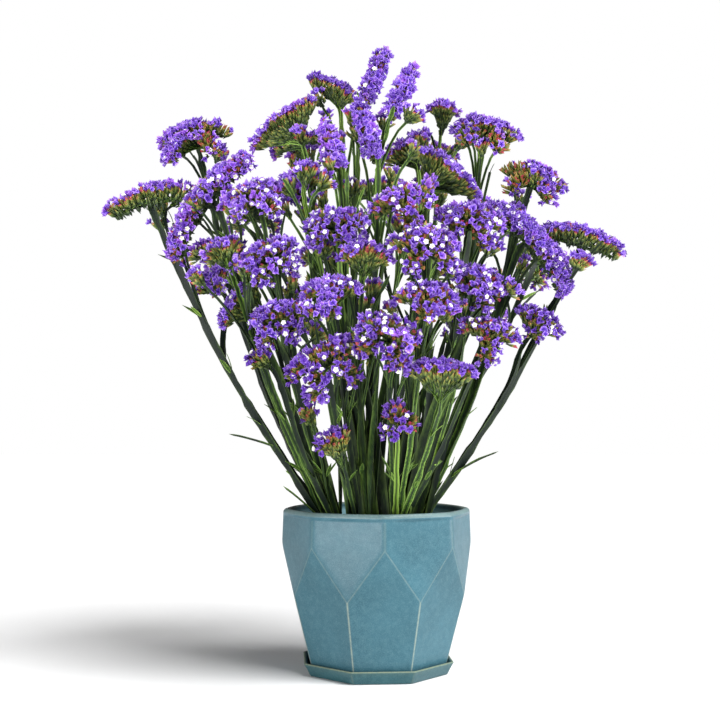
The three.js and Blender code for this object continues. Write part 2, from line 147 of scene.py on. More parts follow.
class Nodes:
    """Adds nodes to a shader tree or a Geometry Nodes tree."""

    def __init__(self, tree: bpy.types.NodeTree) -> None:
        """Starts from an empty tree."""
        self.tree = tree
        tree.nodes.clear()

    def add(self, kind: str, settings: dict | None = None, values: dict | None = None) -> bpy.types.Node:
        """Adds a node.

        Args:
            kind: the node's type.
            settings: what is set on the node itself, and a ramp's stops, before its sockets.
            values: numbers, colours, or what is linked, by a socket's place, identifier or name.

        Returns:
            The new node.
        """
        made = self.tree.nodes.new(kind)
        for key, setting in (settings or {}).items():
            if key == "stops":
                self._set_stops(made.color_ramp, setting)
            else:
                setattr(made, key, setting)
        for key, value in (values or {}).items():
            socket = self._socket(made, key)
            source = value.socket if isinstance(value, Value) else value
            if isinstance(source, Socket):
                self.tree.links.new(source, socket)
            else:
                socket.default_value = source
        return made

    @staticmethod
    def _socket(node: bpy.types.Node, key: int | str) -> Socket:
        """Finds an input by its place, its identifier or its name.

        Args:
            node: the node.
            key: the place, identifier or name.

        Returns:
            The input socket.
        """
        if isinstance(key, int):
            return node.inputs[key]
        for socket in node.inputs:
            if socket.identifier == key:
                return socket
        return next(socket for socket in node.inputs if socket.name == key and socket.enabled)

    @staticmethod
    def _set_stops(ramp: bpy.types.ColorRamp, stops: Stops) -> None:
        """Gives a colour ramp its stops.

        Args:
            ramp: the ramp.
            stops: places from 0 to 1 and colours, in order.
        """
        while len(ramp.elements) < len(stops):
            ramp.elements.new(1.0)
        for element, (place, colour) in zip(ramp.elements, stops):
            element.position = place
            element.color = paint(colour)

    def attribute(self, name: str) -> Value:
        """A number kept on the mesh, read in a shader."""
        read = self.add("ShaderNodeAttribute", {"attribute_name": name})
        return Value(self, read.outputs["Fac"])

    def place(self, stretch: Sequence[float] = (1, 1, 1)) -> Socket:
        """Object coordinates, with each axis multiplied by its stretch."""
        values = {0: self.add("ShaderNodeTexCoord").outputs["Object"], 1: stretch}
        return self.add("ShaderNodeVectorMath", {"operation": "MULTIPLY"}, values).outputs[0]

    def noise(self, scale: float, detail: float = 2.0, stretch: Sequence[float] = (1, 1, 1)) -> Value:
        """Noise, mostly from 0.3 to 0.7, over stretched Object coordinates; the scale is repeats a metre."""
        values = {"Vector": self.place(stretch), "Scale": scale, "Detail": detail}
        return Value(self, self.add("ShaderNodeTexNoise", None, values).outputs[0])

    def mix(self, factor: Value | float, first: object, second: object) -> Socket:
        """Blends two colours.

        Args:
            factor: 0 for the first and 1 for the second.
            first: a linear colour or a colour socket.
            second: likewise.

        Returns:
            The colour socket.
        """
        values = {"Factor_Float": factor, "A_Color": first, "B_Color": second}
        made = self.add("ShaderNodeMix", {"data_type": "RGBA"}, values)
        return next(socket for socket in made.outputs if socket.identifier == "Result_Color")

    def ramp(self, factor: Value, stops: Stops) -> Socket:
        """Runs a value through a colour ramp of these places and colours."""
        return self.add("ShaderNodeValToRGB", {"stops": stops}, {"Fac": factor}).outputs["Color"]

    def bump(self, height: Value, depth: float, strength: float = 1.0) -> Socket:
        """Turns a height into a surface normal; the depth is what a height of 1 stands for, in metres."""
        values = {"Height": height, "Distance": depth, "Strength": strength}
        return self.add("ShaderNodeBump", None, values).outputs["Normal"]


@dataclass(frozen=True)
class Finish:
    """A procedural material; every kind says what feeds its shader."""

    name: str

    def surface(self, nodes: Nodes) -> dict[str, object]:
        """What feeds its shader, by name."""
        raise NotImplementedError

    def material(self) -> Material:
        """Builds the material."""
        material = bpy.data.materials.new(self.name)
        material.use_nodes = True
        nodes = Nodes(material.node_tree)
        shader = nodes.add("ShaderNodeBsdfPrincipled", None, self.surface(nodes))
        nodes.add("ShaderNodeOutputMaterial", None, {"Surface": shader.outputs[0]})
        return material


@dataclass(frozen=True)
class GlazeFinish(Finish):
    """Satin blue-green glaze, pooled darker in places, run thin and pale along the edges and on the lip, where
    the paleness is partly a painted highlight, and painted paler inside, a painted light on the shaded inner
    wall.

    The scales are repeats of noise in a metre.
    """

    name: str = "blue_green_glaze"
    deep: str = "2a4e5a"
    body: str = "3e6977"
    pale: str = "64878f"
    thin: str = "b9bda6"
    # painted light: the paler blue of the inner wall, as if lit where it lies in shade
    inner: str = "95c4ce"
    pools: float = 16.0
    satin: float = 90.0
    clouds: float = 240.0
    ripples: float = 260.0
    chips: float = 420.0
    speckles: float = 1500.0
    ripple_depth: float = 0.00025

    def surface(self, nodes: Nodes) -> dict[str, object]:
        """What feeds its shader, by name."""
        deep, pale = paint(self.deep), paint(self.pale)
        speckle = nodes.noise(self.speckles, 2)
        cloud = nodes.noise(self.clouds, 3)
        colour = nodes.mix(nodes.noise(self.pools, 3).rise(0.1875, 0.8125), deep, paint(self.body))
        colour = nodes.mix(speckle.rise(0.456, 0.75) * 0.4, colour, pale)
        colour = nodes.mix(speckle.rise(0.42, 0.0) * 0.672, colour, deep)
        colour = nodes.mix(cloud.rise(0.467, 0.8) * 0.2, colour, pale)
        colour = nodes.mix(cloud.rise(0.469, 0.156) * 0.2, colour, deep)
        # painted light on the inner wall, where the inner attribute is 1
        colour = nodes.mix(nodes.attribute("inner"), colour, paint(self.inner))
        # thin glaze on the edges, and on the lip partly a painted highlight
        wear = nodes.attribute("wear") * nodes.noise(self.chips, 3).rise(-0.143, 0.571)
        return {
            "Base Color": nodes.mix(wear, colour, paint(self.thin)),
            "Roughness": nodes.noise(self.satin, 3) * 0.2 + 0.24 + wear * 0.2,
            "Normal": nodes.bump(nodes.noise(self.ripples, 3) * 0.7 + speckle * 0.3, self.ripple_depth, 0.5),
            "Specular IOR Level": 0.2,
            "Coat Weight": 0.05,
            "Coat Roughness": 0.22,
        }


@dataclass(frozen=True)
class FunnelFinish(Finish):
    """Papery violet of a floret's funnel, with painted shade on its tube, in its hollow heart, in noise
    creases and on dimmer florets, and paler at its ruffled rim, in part a painted highlight.
    """

    name: str = "papery_violet"
    # stops from the tube's foot to the rim: the dark tube and heart are painted shade, the pale rim in part a
    # painted highlight
    stops: Stops = (
        (0.0, "4e4630"), (0.18, "31157a"), (0.46, "5228ac"), (0.76, "8652e4"), (1.0, "cdacfa"),
    )
    blush: str = "a54fd0"
    painted_shade: str = "4a0c90"
    mottling: float = 700.0
    fold_shading: float = 900.0
    crinkles: float = 1800.0
    crinkle_depth: float = 0.0003

    def surface(self, nodes: Nodes) -> dict[str, object]:
        """What feeds its shader, by name."""
        tint = nodes.attribute("tint")
        mottle = nodes.noise(self.mottling, 3)
        reach = nodes.attribute("reach") + (mottle - 0.5) * 0.35
        blushing = tint.rise(0.5, 1.056) * 0.6
        colour = nodes.mix(blushing, nodes.ramp(reach.held(), self.stops), paint(self.blush))
        # painted shade: dimmer florets (random, and lower heads painted darker) and noise creases turn deep
        # violet
        shaded = (0.5 - tint).held() * 1.2 + nodes.noise(self.fold_shading, 2).rise(0.4875, 0.7375) * 0.8
        return {
            "Base Color": nodes.mix(shaded.held(), colour, paint(self.painted_shade)),
            "Roughness": mottle * 0.3 + 0.5,
            "Normal": nodes.bump(nodes.noise(self.crinkles, 2), self.crinkle_depth, 0.6),
            "Sheen Weight": 0.15,
            "Sheen Roughness": 0.4,
        }


@dataclass(frozen=True)
class CorollaFinish(Finish):
    """Creamy white of the small true flowers, yellower at the heart."""

    name: str = "creamy_corolla"
    stops: Stops = ((0.0, "bfae53"), (0.3, "e1dcb6"), (0.6, "edece3"), (1.0, "ededed"))
    grains: float = 1600.0
    grain_depth: float = 0.0002

    def surface(self, nodes: Nodes) -> dict[str, object]:
        """What feeds its shader, by name."""
        grain = nodes.noise(self.grains, 2)
        reach = nodes.attribute("reach") + (grain - 0.5) * 0.3
        return {
            "Base Color": nodes.ramp(reach.held(), self.stops),
            "Roughness": grain * 0.2 + 0.5,
            "Normal": nodes.bump(grain, self.grain_depth, 0.5),
        }


@dataclass(frozen=True)
class BractFinish(Finish):
    """Bracts: dark green at the root, olive above, and red-brown at their dry tips; dark green where their
    tint is low, which deep under the combs is painted shade.
    """

    name: str = "olive_bract"
    stops: Stops = (
        (0.0, "131e15"), (0.3, "2f481e"), (0.55, "738238"),
        (0.76, "a59a48"), (0.88, "bf5254"), (1.0, "ae3e62"),
    )
    green: str = "20311a"
    grains: float = 500.0
    veins: float = 1500.0
    vein_stretch: Point = (1, 1, 0.25)
    vein_depth: float = 0.0003

    def surface(self, nodes: Nodes) -> dict[str, object]:
        """What feeds its shader, by name."""
        tint = nodes.attribute("tint")
        grain = nodes.noise(self.grains, 3)
        reach = nodes.attribute("reach") * (0.62 + tint * 0.42) + (grain - 0.5) * 0.16
        colour = nodes.ramp(reach.held(), self.stops)
        veins = nodes.noise(self.veins, 2, self.vein_stretch)
        return {
            # low tints pull the colour to dark green: painted shade for the bracts deep under a comb
            "Base Color": nodes.mix((0.5 - tint).held() * 1.6, colour, paint(self.green)),
            "Roughness": grain * 0.3 + 0.45,
            "Normal": nodes.bump(veins, self.vein_depth, 0.5),
        }


@dataclass(frozen=True)
class LeafFinish(Finish):
    """Green of stems and leaves, streaked lengthwise, painted lit or shaded by their tint, with a painted
    highlight along the wings' edges and painted shade at their roots.
    """

    name: str = "winged_green"
    shade: str = "0f1c15"
    body: str = "34581e"
    light: str = "7fa43c"
    edge: str = "9cba62"
    patches: float = 45.0
    streaks: float = 900.0
    streak_stretch: Point = (1, 1, 0.06)
    streak_depth: float = 0.0004

    def surface(self, nodes: Nodes) -> dict[str, object]:
        """What feeds its shader, by name."""
        tint = nodes.attribute("tint")
        streak = nodes.noise(self.streaks, 2, self.streak_stretch)
        patch = nodes.noise(self.patches, 3)
        edge = nodes.attribute("wing_edge")
        shade = paint(self.shade)
        # the tint says how lit a stem or leaf is painted: low tints are painted shade, high ones painted light
        lit = (tint * 1.5 + patch - 0.5).held()
        bright = (tint - 0.9).held() * 6.0
        colour = nodes.mix(lit, shade, paint(self.body))
        # light green streaks only on painted-lit stems, strongest on the brightest
        colour = nodes.mix((streak * 2.4 - 0.95 + bright).held() * lit, colour, paint(self.light))
        # painted shade at the wings' roots
        colour = nodes.mix((0.66 - edge).held() * 1.5, colour, shade)
        return {
            # painted highlight along the wings' edges, stronger on lit stems
            "Base Color": nodes.mix((edge - 0.7).held() * (lit + 0.1) * 2.5, colour, paint(self.edge)),
            "Roughness": patch * 0.25 + 0.45,
            "Normal": nodes.bump(streak, self.streak_depth, 0.6),
            "Specular IOR Level": 0.25,
        }


@dataclass(frozen=True)
class EarthFinish(Finish):
    """Dark damp potting soil with paler fibres."""

    name: str = "potting_soil"
    wet: str = "1c140f"
    dry: str = "4a382a"
    fibre: str = "75604a"
    crumbs: float = 300.0
    lumps: float = 700.0
    fibres: float = 800.0
    lump_depth: float = 0.0012

    def surface(self, nodes: Nodes) -> dict[str, object]:
        """What feeds its shader, by name."""
        crumb = nodes.noise(self.crumbs, 4)
        colour = nodes.mix(crumb.rise(0.273, 0.727), paint(self.wet), paint(self.dry))
        return {
            "Base Color": nodes.mix(nodes.noise(self.fibres, 2).rise(0.62, 0.82), colour, paint(self.fibre)),
            "Roughness": crumb * 0.2 + 0.78,
            "Normal": nodes.bump(nodes.noise(self.lumps, 4), self.lump_depth, 0.8),
        }


@dataclass(frozen=True)
class FloorFinish(Finish):
    """A pale matt floor."""

    name: str = "pale_floor"
    pale: str = "eaeaea"

    def surface(self, nodes: Nodes) -> dict[str, object]:
        """What feeds its shader, by name."""
        return {"Base Color": paint(self.pale), "Roughness": 0.9, "Specular IOR Level": 0.1}


# the saucer's glaze is the pot's glaze painted darker, a painted shade for its wall that faces down, away from
# the light; its tan rim line is thin glaze
SHADED_SAUCER_GLAZE = GlazeFinish("saucer_glaze", deep="22444b", body="305a62", pale="52787b", thin="9a9a72")


@dataclass(frozen=True)
class CombForm:
    """How a comb leaves its head.

    A comb that runs both ways has its middle at the head's. A share of the head's length under 1 makes a side
    comb, at a turn from the main one and dipped below it. The arch is the angle through which a comb bends
    down. The angles are in degrees.
    """

    both: bool = True
    share: float = 1.0
    turn: float = 0.0
    dip: float = 0.0
    arch: float = 60.0


@dataclass(frozen=True)
class HeadForm:
    """A kind of flower head.

    The depth of the green under its middle and its combs are as in the part's source. The rows are the turns
    of its rows of florets about each comb, in degrees. The joint is how far up the stem its branches leave,
    the body is the share of the way to the joint that its bracts fill, and slim narrows its rows and tufts.
    """

    depth: float
    combs: tuple[CombForm, ...]
    rows: Numbers = (-26, 26)
    joint: float = 2.5
    body: float = 0.62
    slim: float = 1.0


def side_comb(turn: float, dip: float) -> CombForm:
    """A side comb at a turn and a dip, in degrees."""
    return CombForm(both=False, share=0.62, turn=turn, dip=dip, arch=38)


class Kind(Enum):
    """The kinds of flower head."""

    CREST = HeadForm(18, (CombForm(arch=45),), rows=(-20, 20), joint=2.2, body=0.72)
    DOME = HeadForm(16, (CombForm(arch=95),), joint=2.2, body=0.75)
    ARC = HeadForm(11, (CombForm(arch=62),))
    ARCH = HeadForm(11, (CombForm(arch=62),), rows=(-26, 4, 32, 60), slim=0.85)
    SPIKE = HeadForm(7, (CombForm(both=False, dip=-72, arch=16),), rows=(-38, 0, 38), slim=0.5)
    CORYMB = HeadForm(14, (CombForm(arch=70), side_comb(90, 10)))
    CLUSTER = HeadForm(15, (CombForm(arch=70), side_comb(54, 12), side_comb(126, 12)))
    BUD = HeadForm(11, (CombForm(arch=60),), joint=2.3, body=0.75)


# Every spray: the foot of its crown, and its heads: name, kind, x, y, z, length, lean to the right, pitch to
# the front and turn of the comb in degrees. Where a stem leaves another head's, that head and how far up.
SPRAYS: dict[str, tuple] = {
    "left": (
        (-37, 2),
        ("left_arch", Kind.ARCH, -148, -38, 390, 104, -58, 34, 12),
        ("left_reach", Kind.ARC, -192, -12, 402, 78, -12, 14, 0),
        ("left_crown", Kind.CLUSTER, -160, 14, 463, 60, -12, 22, 10, "left_arch", 0.6),
        ("left_low", Kind.CORYMB, -145, 30, 334, 34, -30, 20, 0, "left_reach", 0.55),
        ("left_rear", Kind.CORYMB, -152, 74, 366, 48, -34, -34, 150),
    ),
    "left_front": (
        (-28, -20),
        ("flank_top", Kind.CLUSTER, -98, -66, 393, 42, -14, 30, 10),
        ("flank_tuft", Kind.DOME, -122, -72, 346, 26, -16, 20, 0),
        ("flank_side", Kind.CREST, -114, -42, 306, 42, -54, 24, 0),
        ("flank_bud", Kind.BUD, -93, -78, 258, 15, -40, 30, 0),
        ("flank_mid", Kind.CLUSTER, -85, -88, 340, 38, -16, 42, -12),
        ("flank_low", Kind.CLUSTER, -76, -98, 291, 40, -26, 42, 24, "flank_mid", 0.5),
        ("skirt_bud", Kind.BUD, -54, -73, 214, 13, -20, 36, 0),
    ),
    "front_left": (
        (-12, -38),
        ("front_left_fan", Kind.CLUSTER, -42, -132, 256, 50, -20, 50, -8),
        ("front_left_dome", Kind.CORYMB, -34, -124, 308, 38, -8, 24, 8),
        ("front_mid_dome", Kind.DOME, -8, -112, 336, 36, 6, 24, -10),
        ("skirt_left", Kind.CREST, -33, -108, 193, 22, -20, 44, 0, "front_left_fan", 0.18),
    ),
    "front_right": (
        (14, -39),
        ("front_mid_fan", Kind.CLUSTER, 9, -142, 275, 42, 0, 56, 20),
        ("front_right_dome", Kind.CORYMB, 36, -134, 302, 38, 4, 26, 0),
        ("front_right_top", Kind.CLUSTER, 36, -114, 346, 46, 8, 40, -24),
        ("front_right_row", Kind.CREST, 48, -130, 246, 44, 4, 24, 0),
        ("front_right_fan", Kind.CORYMB, 86, -110, 278, 42, 20, 40, -10),
        ("front_right_high", Kind.CLUSTER, 80, -98, 318, 40, 18, 40, 14, "front_right_fan", 0.4),
        ("skirt_right", Kind.CORYMB, 18, -112, 210, 22, 10, 52, 30),
    ),
    "centre": (
        (-8, -19),
        ("centre_spike", Kind.SPIKE, -2, -46, 422, 46, -14, 12, -90),
        ("centre_left_spike", Kind.SPIKE, -32, -62, 410, 34, -14, 16, -90),
        ("centre_bud", Kind.BUD, -56, -77, 407, 15, 2, 10, 0, "centre_left_spike", 0.5),
        ("centre_row", Kind.CLUSTER, -32, -86, 366, 42, -6, 42, 14),
        ("centre_right_row", Kind.CORYMB, 18, -84, 384, 44, -18, 42, -4, "centre_spike", 0.4),
        ("centre_left", Kind.CORYMB, -68, -30, 408, 40, -18, 24, 6),
    ),
    "crown": (
        (3, 2),
        ("top_spike", Kind.SPIKE, -10, -4, 480, 50, 18, 6, -90),
        ("top_right_spike", Kind.SPIKE, 12, -33, 460, 42, 22, 10, -90, "top_spike", 0.5),
        ("top_left_fan", Kind.CREST, -38, 20, 500, 38, -12, 4, 4),
        ("high_left_fan", Kind.CREST, -82, -5, 464, 60, -38, 6, 0, "top_left_fan", 0.45),
        ("high_mid_fan", Kind.CREST, 24, 6, 444, 38, -22, 10, 0),
        ("top_tuft", Kind.DOME, 59, 22, 482, 20, 6, 4, 0, "high_mid_fan", 0.5),
    ),
    "right": (
        (28, -4),
        ("high_right_fan", Kind.CREST, 62, -28, 416, 58, 38, 8, 0),
        ("top_right", Kind.CLUSTER, 97, 4, 462, 50, 12, 20, 10),
        ("right_crown", Kind.CLUSTER, 138, 14, 424, 52, 18, 24, 0),
        ("right_arch", Kind.ARCH, 134, -30, 358, 96, 52, 34, -12),
        ("right_reach", Kind.ARC, 174, -8, 366, 72, 14, 14, 0),
        ("right_low", Kind.CORYMB, 132, -52, 290, 32, 30, 26, 0, "right_reach", 0.45),
        ("right_row", Kind.CLUSTER, 74, -72, 372, 48, 4, 36, 6),
        ("right_rear", Kind.CORYMB, 152, 70, 360, 46, 34, -34, -150, "right_crown", 0.4),
    ),
    "back": (
        (0, 24),
        ("back_top_left", Kind.CORYMB, -72, 66, 464, 48, -18, -20, 172),
        ("back_top_right", Kind.CORYMB, 50, 74, 458, 46, 14, -22, -170),
        ("back_high", Kind.CORYMB, -4, 116, 430, 50, 0, -34, 200, "back_top_right", 0.45),
        ("back_left", Kind.CORYMB, -120, 98, 408, 48, -26, -30, 210, "back_top_left", 0.45),
        ("back_right", Kind.CORYMB, 108, 92, 402, 48, 24, -30, 150),
        ("back_mid_left", Kind.CORYMB, -50, 136, 374, 42, -10, -40, 192),
        ("back_mid_right", Kind.CLUSTER, 54, 140, 366, 44, 10, -46, 170),
        ("back_low_left", Kind.CORYMB, -84, 118, 318, 44, -26, -50, 196, "back_mid_left", 0.4),
        ("back_low_right", Kind.CORYMB, 92, 118, 318, 44, 26, -50, 166, "back_mid_right", 0.4),
    ),
}

# Sprays with stouter stems than the others, and how much stouter.
STOUT = {"left": 1.4, "right": 1.4}

# Heads whose stems are painted light green on their way up, a painted light where those stems stand lit.
PAINTED_LIT_STEMS = (
    "flank_tuft", "centre_bud", "top_tuft", "top_left_fan", "high_mid_fan",
    "centre_left", "front_mid_dome",
)

# Fans that aren't square to their stems, and how much lower their right ends hang, in degrees.
SLOPES = {"top_left_fan": 34.0, "high_mid_fan": -12.0}

# Heads with one side past flowering: the way to that side, longer where more of the head is.
SPENT = {
    "left_crown": Vector((0.8, 0, -0.2)),
    "right_crown": Vector((-0.8, 0, -0.2)),
    "top_right": Vector((-0.5, 0, -0.8)),
    "skirt_left": Vector((4.0, 0, 0)),
    "skirt_right": Vector((3.0, 0, -1.0)),
}

# Long leaves low on the stems: the head whose stem bears the leaf, how far up, the way it points in degrees to
# the right of the front, its rise above level in degrees, and its length.
LEAVES = (
    ("left_reach", 0.26, -90, 22, 42),
    ("left_arch", 0.07, -104, 64, 44),
    ("left_arch", 0.0, -80, 50, 52),
    ("flank_mid", 0.14, -50, 66, 44),
    ("front_left_fan", 0.16, -40, 70, 44),
    ("front_mid_dome", 0.1, -8, 74, 44),
    ("front_right_dome", 0.14, 24, 72, 46),
    ("front_right_fan", 0.12, 58, 64, 40),
    ("right_reach", 0.2, 84, 34, 44),
    ("right_arch", 0.05, 78, 62, 34),
    ("back_right", 0.12, 150, 48, 46),
    ("back_left", 0.14, -150, 52, 44),
)


@dataclass(frozen=True)
class Station:
    """A place on a comb with its directions."""

    place: Vector
    along: Vector
    up: Vector
    side: Vector

    def offset(self, across: float, rise: float) -> Vector:
        """The point that lies across the comb and above it by these lengths."""
        return self.place + self.side * across + self.up * rise


@dataclass(frozen=True)
class Comb:
    """One arched comb of a head, in the part's own frame."""

    start: Vector
    along: Vector
    normal: Vector
    length: float
    both: bool
    bare: float
    bend: float
    depth: float

    @property
    def side(self) -> Vector:
        """The way across the comb."""
        return self.along.cross(self.normal)

    @property
    def first(self) -> float:
        """Where its florets start."""
        return -self.length / 2 if self.both else self.bare

    @property
    def last(self) -> float:
        """Where its florets end."""
        return self.length / 2 if self.both else self.length

    @property
    def spined(self) -> bool:
        """Whether a spine bears its tufts, and not branches: a long fan or a spike."""
        return self.length > SIZES.longest_fan or (not self.both and self.bare == 0)

    def at(self, s: float) -> Station:
        """The place at a distance along the comb.

        Args:
            s: the distance from its start.

        Returns:
            The station.
        """
        angle = s * self.bend
        sine, cosine = math.sin(angle), math.cos(angle)
        place = self.start + self.along * (sine / self.bend) + self.normal * ((cosine - 1) / self.bend)
        return Station(
            place,
            self.along * cosine - self.normal * sine,
            self.normal * cosine + self.along * sine,
            self.side,
        )

    def sloped(self, degrees: float) -> "Comb":
        """The comb with its far end lowered by an angle."""
        tipped = Quaternion(self.side, -math.radians(degrees))
        return replace(self, along=tipped @ self.along, normal=tipped @ self.normal)

    def outward(self, s: float) -> float:
        """How far out a distance is, from 0 at the middle to 1 at the tip."""
        return abs(s) / (self.length / 2 if self.both else self.length)


@dataclass(frozen=True)
class HeadSizes:
    """Sizes that place combs and stems, as in the part's source."""

    side_drop: float = 1.5
    end_half_width: float = 4.08
    keel_half_width: float = 5.6
    side_gap: float = 1.6
    longest_fan: float = 65.0
    seat_share: float = 0.55
    spike_seat: float = 4.0
    neck: float = 15.0

    def bare(self, turn: float) -> float:
        """How far from the middle a side comb's florets start."""
        angle = math.radians(turn)
        half = self.keel_half_width + self.end_half_width * abs(math.cos(angle))
        return half / math.sin(angle) + self.side_gap


SIZES = HeadSizes()


class Head:
    """A flower head: its combs, and where its stem ends."""

    def __init__(self, row: tuple) -> None:
        """Reads a row of the table of sprays."""
        self.name, self.kind, x, y, z, self.length, lean, pitch, turn, *fork = row
        self.parent, self.fork_at = fork or (None, 0.0)
        self.centre = Vector((x, y, z))
        lean, pitch, turn = map(math.radians, (lean, pitch, turn))
        right = Vector((math.cos(lean), 0, -math.sin(lean)))
        self.axis = Quaternion(right, pitch) @ Vector((math.sin(lean), 0, math.cos(lean)))
        self.across = Quaternion(self.axis, -turn) @ right
        self.combs = [self._comb(form) for form in self.kind.value.combs]
        main = self.combs[0]
        root = main.at(0 if main.both else SIZES.spike_seat)
        self.seat = root.offset(0, -SIZES.seat_share * main.depth)
        out = root.up if main.both else root.along
        self.neck = self.seat - out * (SIZES.neck + 0.5 * main.depth)
        self.combs = [comb.sloped(SLOPES.get(self.name, 0.0)) for comb in self.combs]

    def _comb(self, form: CombForm) -> Comb:
        """Lays out one comb.

        Args:
            form: how the comb leaves the head.

        Returns:
            The comb.
        """
        across = Quaternion(self.axis, -math.radians(form.turn)) @ self.across
        tipped = Quaternion(across.cross(self.axis), -math.radians(form.dip))
        length = self.length * form.share
        start = self.centre - self.axis * (SIZES.side_drop if form.turn else 0)
        bare = SIZES.bare(form.turn) if form.turn else 0.0
        bend = math.radians(form.arch) / length
        depth = self.kind.value.depth
        return Comb(start, tipped @ across, tipped @ self.axis, length, form.both, bare, bend, depth)


class StemPath:
    """The smooth line of a stem through its four points: start, middle, neck and seat."""

    NECK = 2
    SEAT = 3

    def __init__(self, points: Sequence[Vector]) -> None:
        """Keeps the points, with one more beyond each end."""
        self.points = [2 * points[0] - points[1], *points, 2 * points[-1] - points[-2]]

    def at(self, u: float) -> Vector:
        """The place at a number of points up the line.

        Args:
            u: 0 at the start, 2 at the neck and 3 at the seat.

        Returns:
            The place.
        """
        step = min(int(u), self.SEAT - 1)
        t = u - step
        before, first, second, after = self.points[step : step + 4]
        slope, far = (second - before) / 2, (after - first) / 2
        return (
            first * (2 * t**3 - 3 * t**2 + 1)
            + slope * (t**3 - 2 * t**2 + t)
            + second * (3 * t**2 - 2 * t**3)
            + far * (t**3 - t**2)
        )

    @property
    def length(self) -> float:
        """How far its neck is from its start."""
        return (self.at(self.NECK) - self.at(0)).length

    def heading(self, u: float) -> Vector:
        """The direction at a number of points up the line."""
        near = 0.02
        return (self.at(min(u + near, self.SEAT)) - self.at(max(u - near, 0))).normalized()


@dataclass
class Scatter:
    """Places where one shape is repeated, each with a turn, a size and a tint.

    A floret's place also has the radius of its corolla, or 0, and whether it is half closed.
    """

    places: list[Vector] = field(default_factory=list)
    turns: list[Vector] = field(default_factory=list)
    sizes: list[tuple[float, float, float]] = field(default_factory=list)
    tints: list[float] = field(default_factory=list)
    flowers: list[float] = field(default_factory=list)
    closings: list[float] = field(default_factory=list)

    def add(self, place: Vector, turn: Vector, size: tuple[float, float, float], tint: float) -> None:
        """Adds a place.

        Args:
            place: where the shape's foot is.
            turn: its turn, as Euler angles.
            size: its scale along each of its axes.
            tint: a number from 0 to 1 for its colour.
        """
        self.places.append(place)
        self.turns.append(turn)
        self.sizes.append(size)
        self.tints.append(clamped(tint))
        self.flowers.append(0.0)
        self.closings.append(0.0)

    def point(
        self, place: Vector, facing: Vector, width: float, length: float, tint: float, spin: float
    ) -> None:
        """Adds a place where the shape's length points a given way, turned about it by the spin."""
        turn = facing.to_track_quat("Z", "Y") @ Quaternion((0, 0, 1), spin)
        self.add(place, Vector(turn.to_euler()), (width, width, length), tint)

    def mesh(self, name: str) -> Mesh:
        """Makes the mesh of loose points that Geometry Nodes read.

        Args:
            name: the mesh's name.

        Returns:
            The mesh.
        """
        mesh = bpy.data.meshes.new(name)
        mesh.from_pydata([place * MM for place in self.places], [], [])
        for key, values, scale in (("turn", self.turns, 1), ("size", self.sizes, MM)):
            kept = mesh.attributes.new(key, "FLOAT_VECTOR", "POINT")
            kept.data.foreach_set("vector", np.array(values, dtype=np.float32).ravel() * scale)
        keep(mesh, "tint", self.tints)
        keep(mesh, "flower", self.flowers)
        keep(mesh, "closing", self.closings)
        return mesh


class Shape:
    """A small closed shape of a few dozen faces, made of rings of points, that is repeated many times."""

    def __init__(self, name: str, rings: Sequence[Sequence[Point]], reach: Sequence[float]) -> None:
        """Makes the shape's object.

        Args:
            name: its name.
            rings: rings from its foot, over its rim and to its heart; each has as many points as the one
                before, twice as many, half as many, or a single one.
            reach: how far along the shape each ring is, for its colours.
        """
        points = [point for ring in rings for point in ring]
        faces: list[list[int]] = []
        start = 0
        for lower, upper in zip(rings, rings[1:]):
            faces += self._band(start, len(lower), start + len(lower), len(upper))
            start += len(lower)
        mesh = bpy.data.meshes.new(name)
        mesh.from_pydata(points, [], faces)
        keep(mesh, "reach", [share for ring, share in zip(rings, reach) for _ in ring])
        self.object = placed(name, mesh)

    @staticmethod
    def _band(low: int, lows: int, high: int, highs: int) -> list[list[int]]:
        """The faces between two rings.

        Args:
            low: the first point of the lower ring.
            lows: its number of points.
            high: the first point of the upper ring.
            highs: its number of points.

        Returns:
            The faces, facing outwards.
        """
        faces = []
        for i in range(min(lows, highs) if min(lows, highs) > 1 else max(lows, highs)):
            a, b = low + i, low + (i + 1) % lows
            c, d = high + i, high + (i + 1) % highs
            if highs == 1:
                faces.append([a, b, high])
            elif lows == 1:
                faces.append([low, d, c])
            elif lows == highs:
                faces.append([a, b, d, c])
            elif highs == 2 * lows:
                c, d, e = high + 2 * i, high + 2 * i + 1, high + (2 * i + 2) % highs
                faces += [[a, d, c], [a, b, d], [b, e, d]]
            else:
                a, b, e = low + 2 * i, low + 2 * i + 1, low + (2 * i + 2) % lows
                faces += [[a, b, c], [c, b, d], [b, e, d]]
        return faces

    def discard(self) -> None:
        """Takes the shape out of the scene once it has been used."""
        mesh = self.object.data
        bpy.data.objects.remove(self.object)
        bpy.data.meshes.remove(mesh)


def ring(count: int, height: float, radii: Sequence[float], waves: Sequence[float] = (0,)) -> list[Point]:
    """A ring of points about the Z axis.

    Args:
        count: how many points.
        height: their height.
        radii: their radii, taken in turn.
        waves: what is added to their heights, taken in turn.

    Returns:
        The points.
    """
    points = []
    for i in range(count):
        angle = math.tau * i / count
        radius = radii[i % len(radii)]
        points.append((radius * math.cos(angle), radius * math.sin(angle), height + waves[i % len(waves)]))
    return points


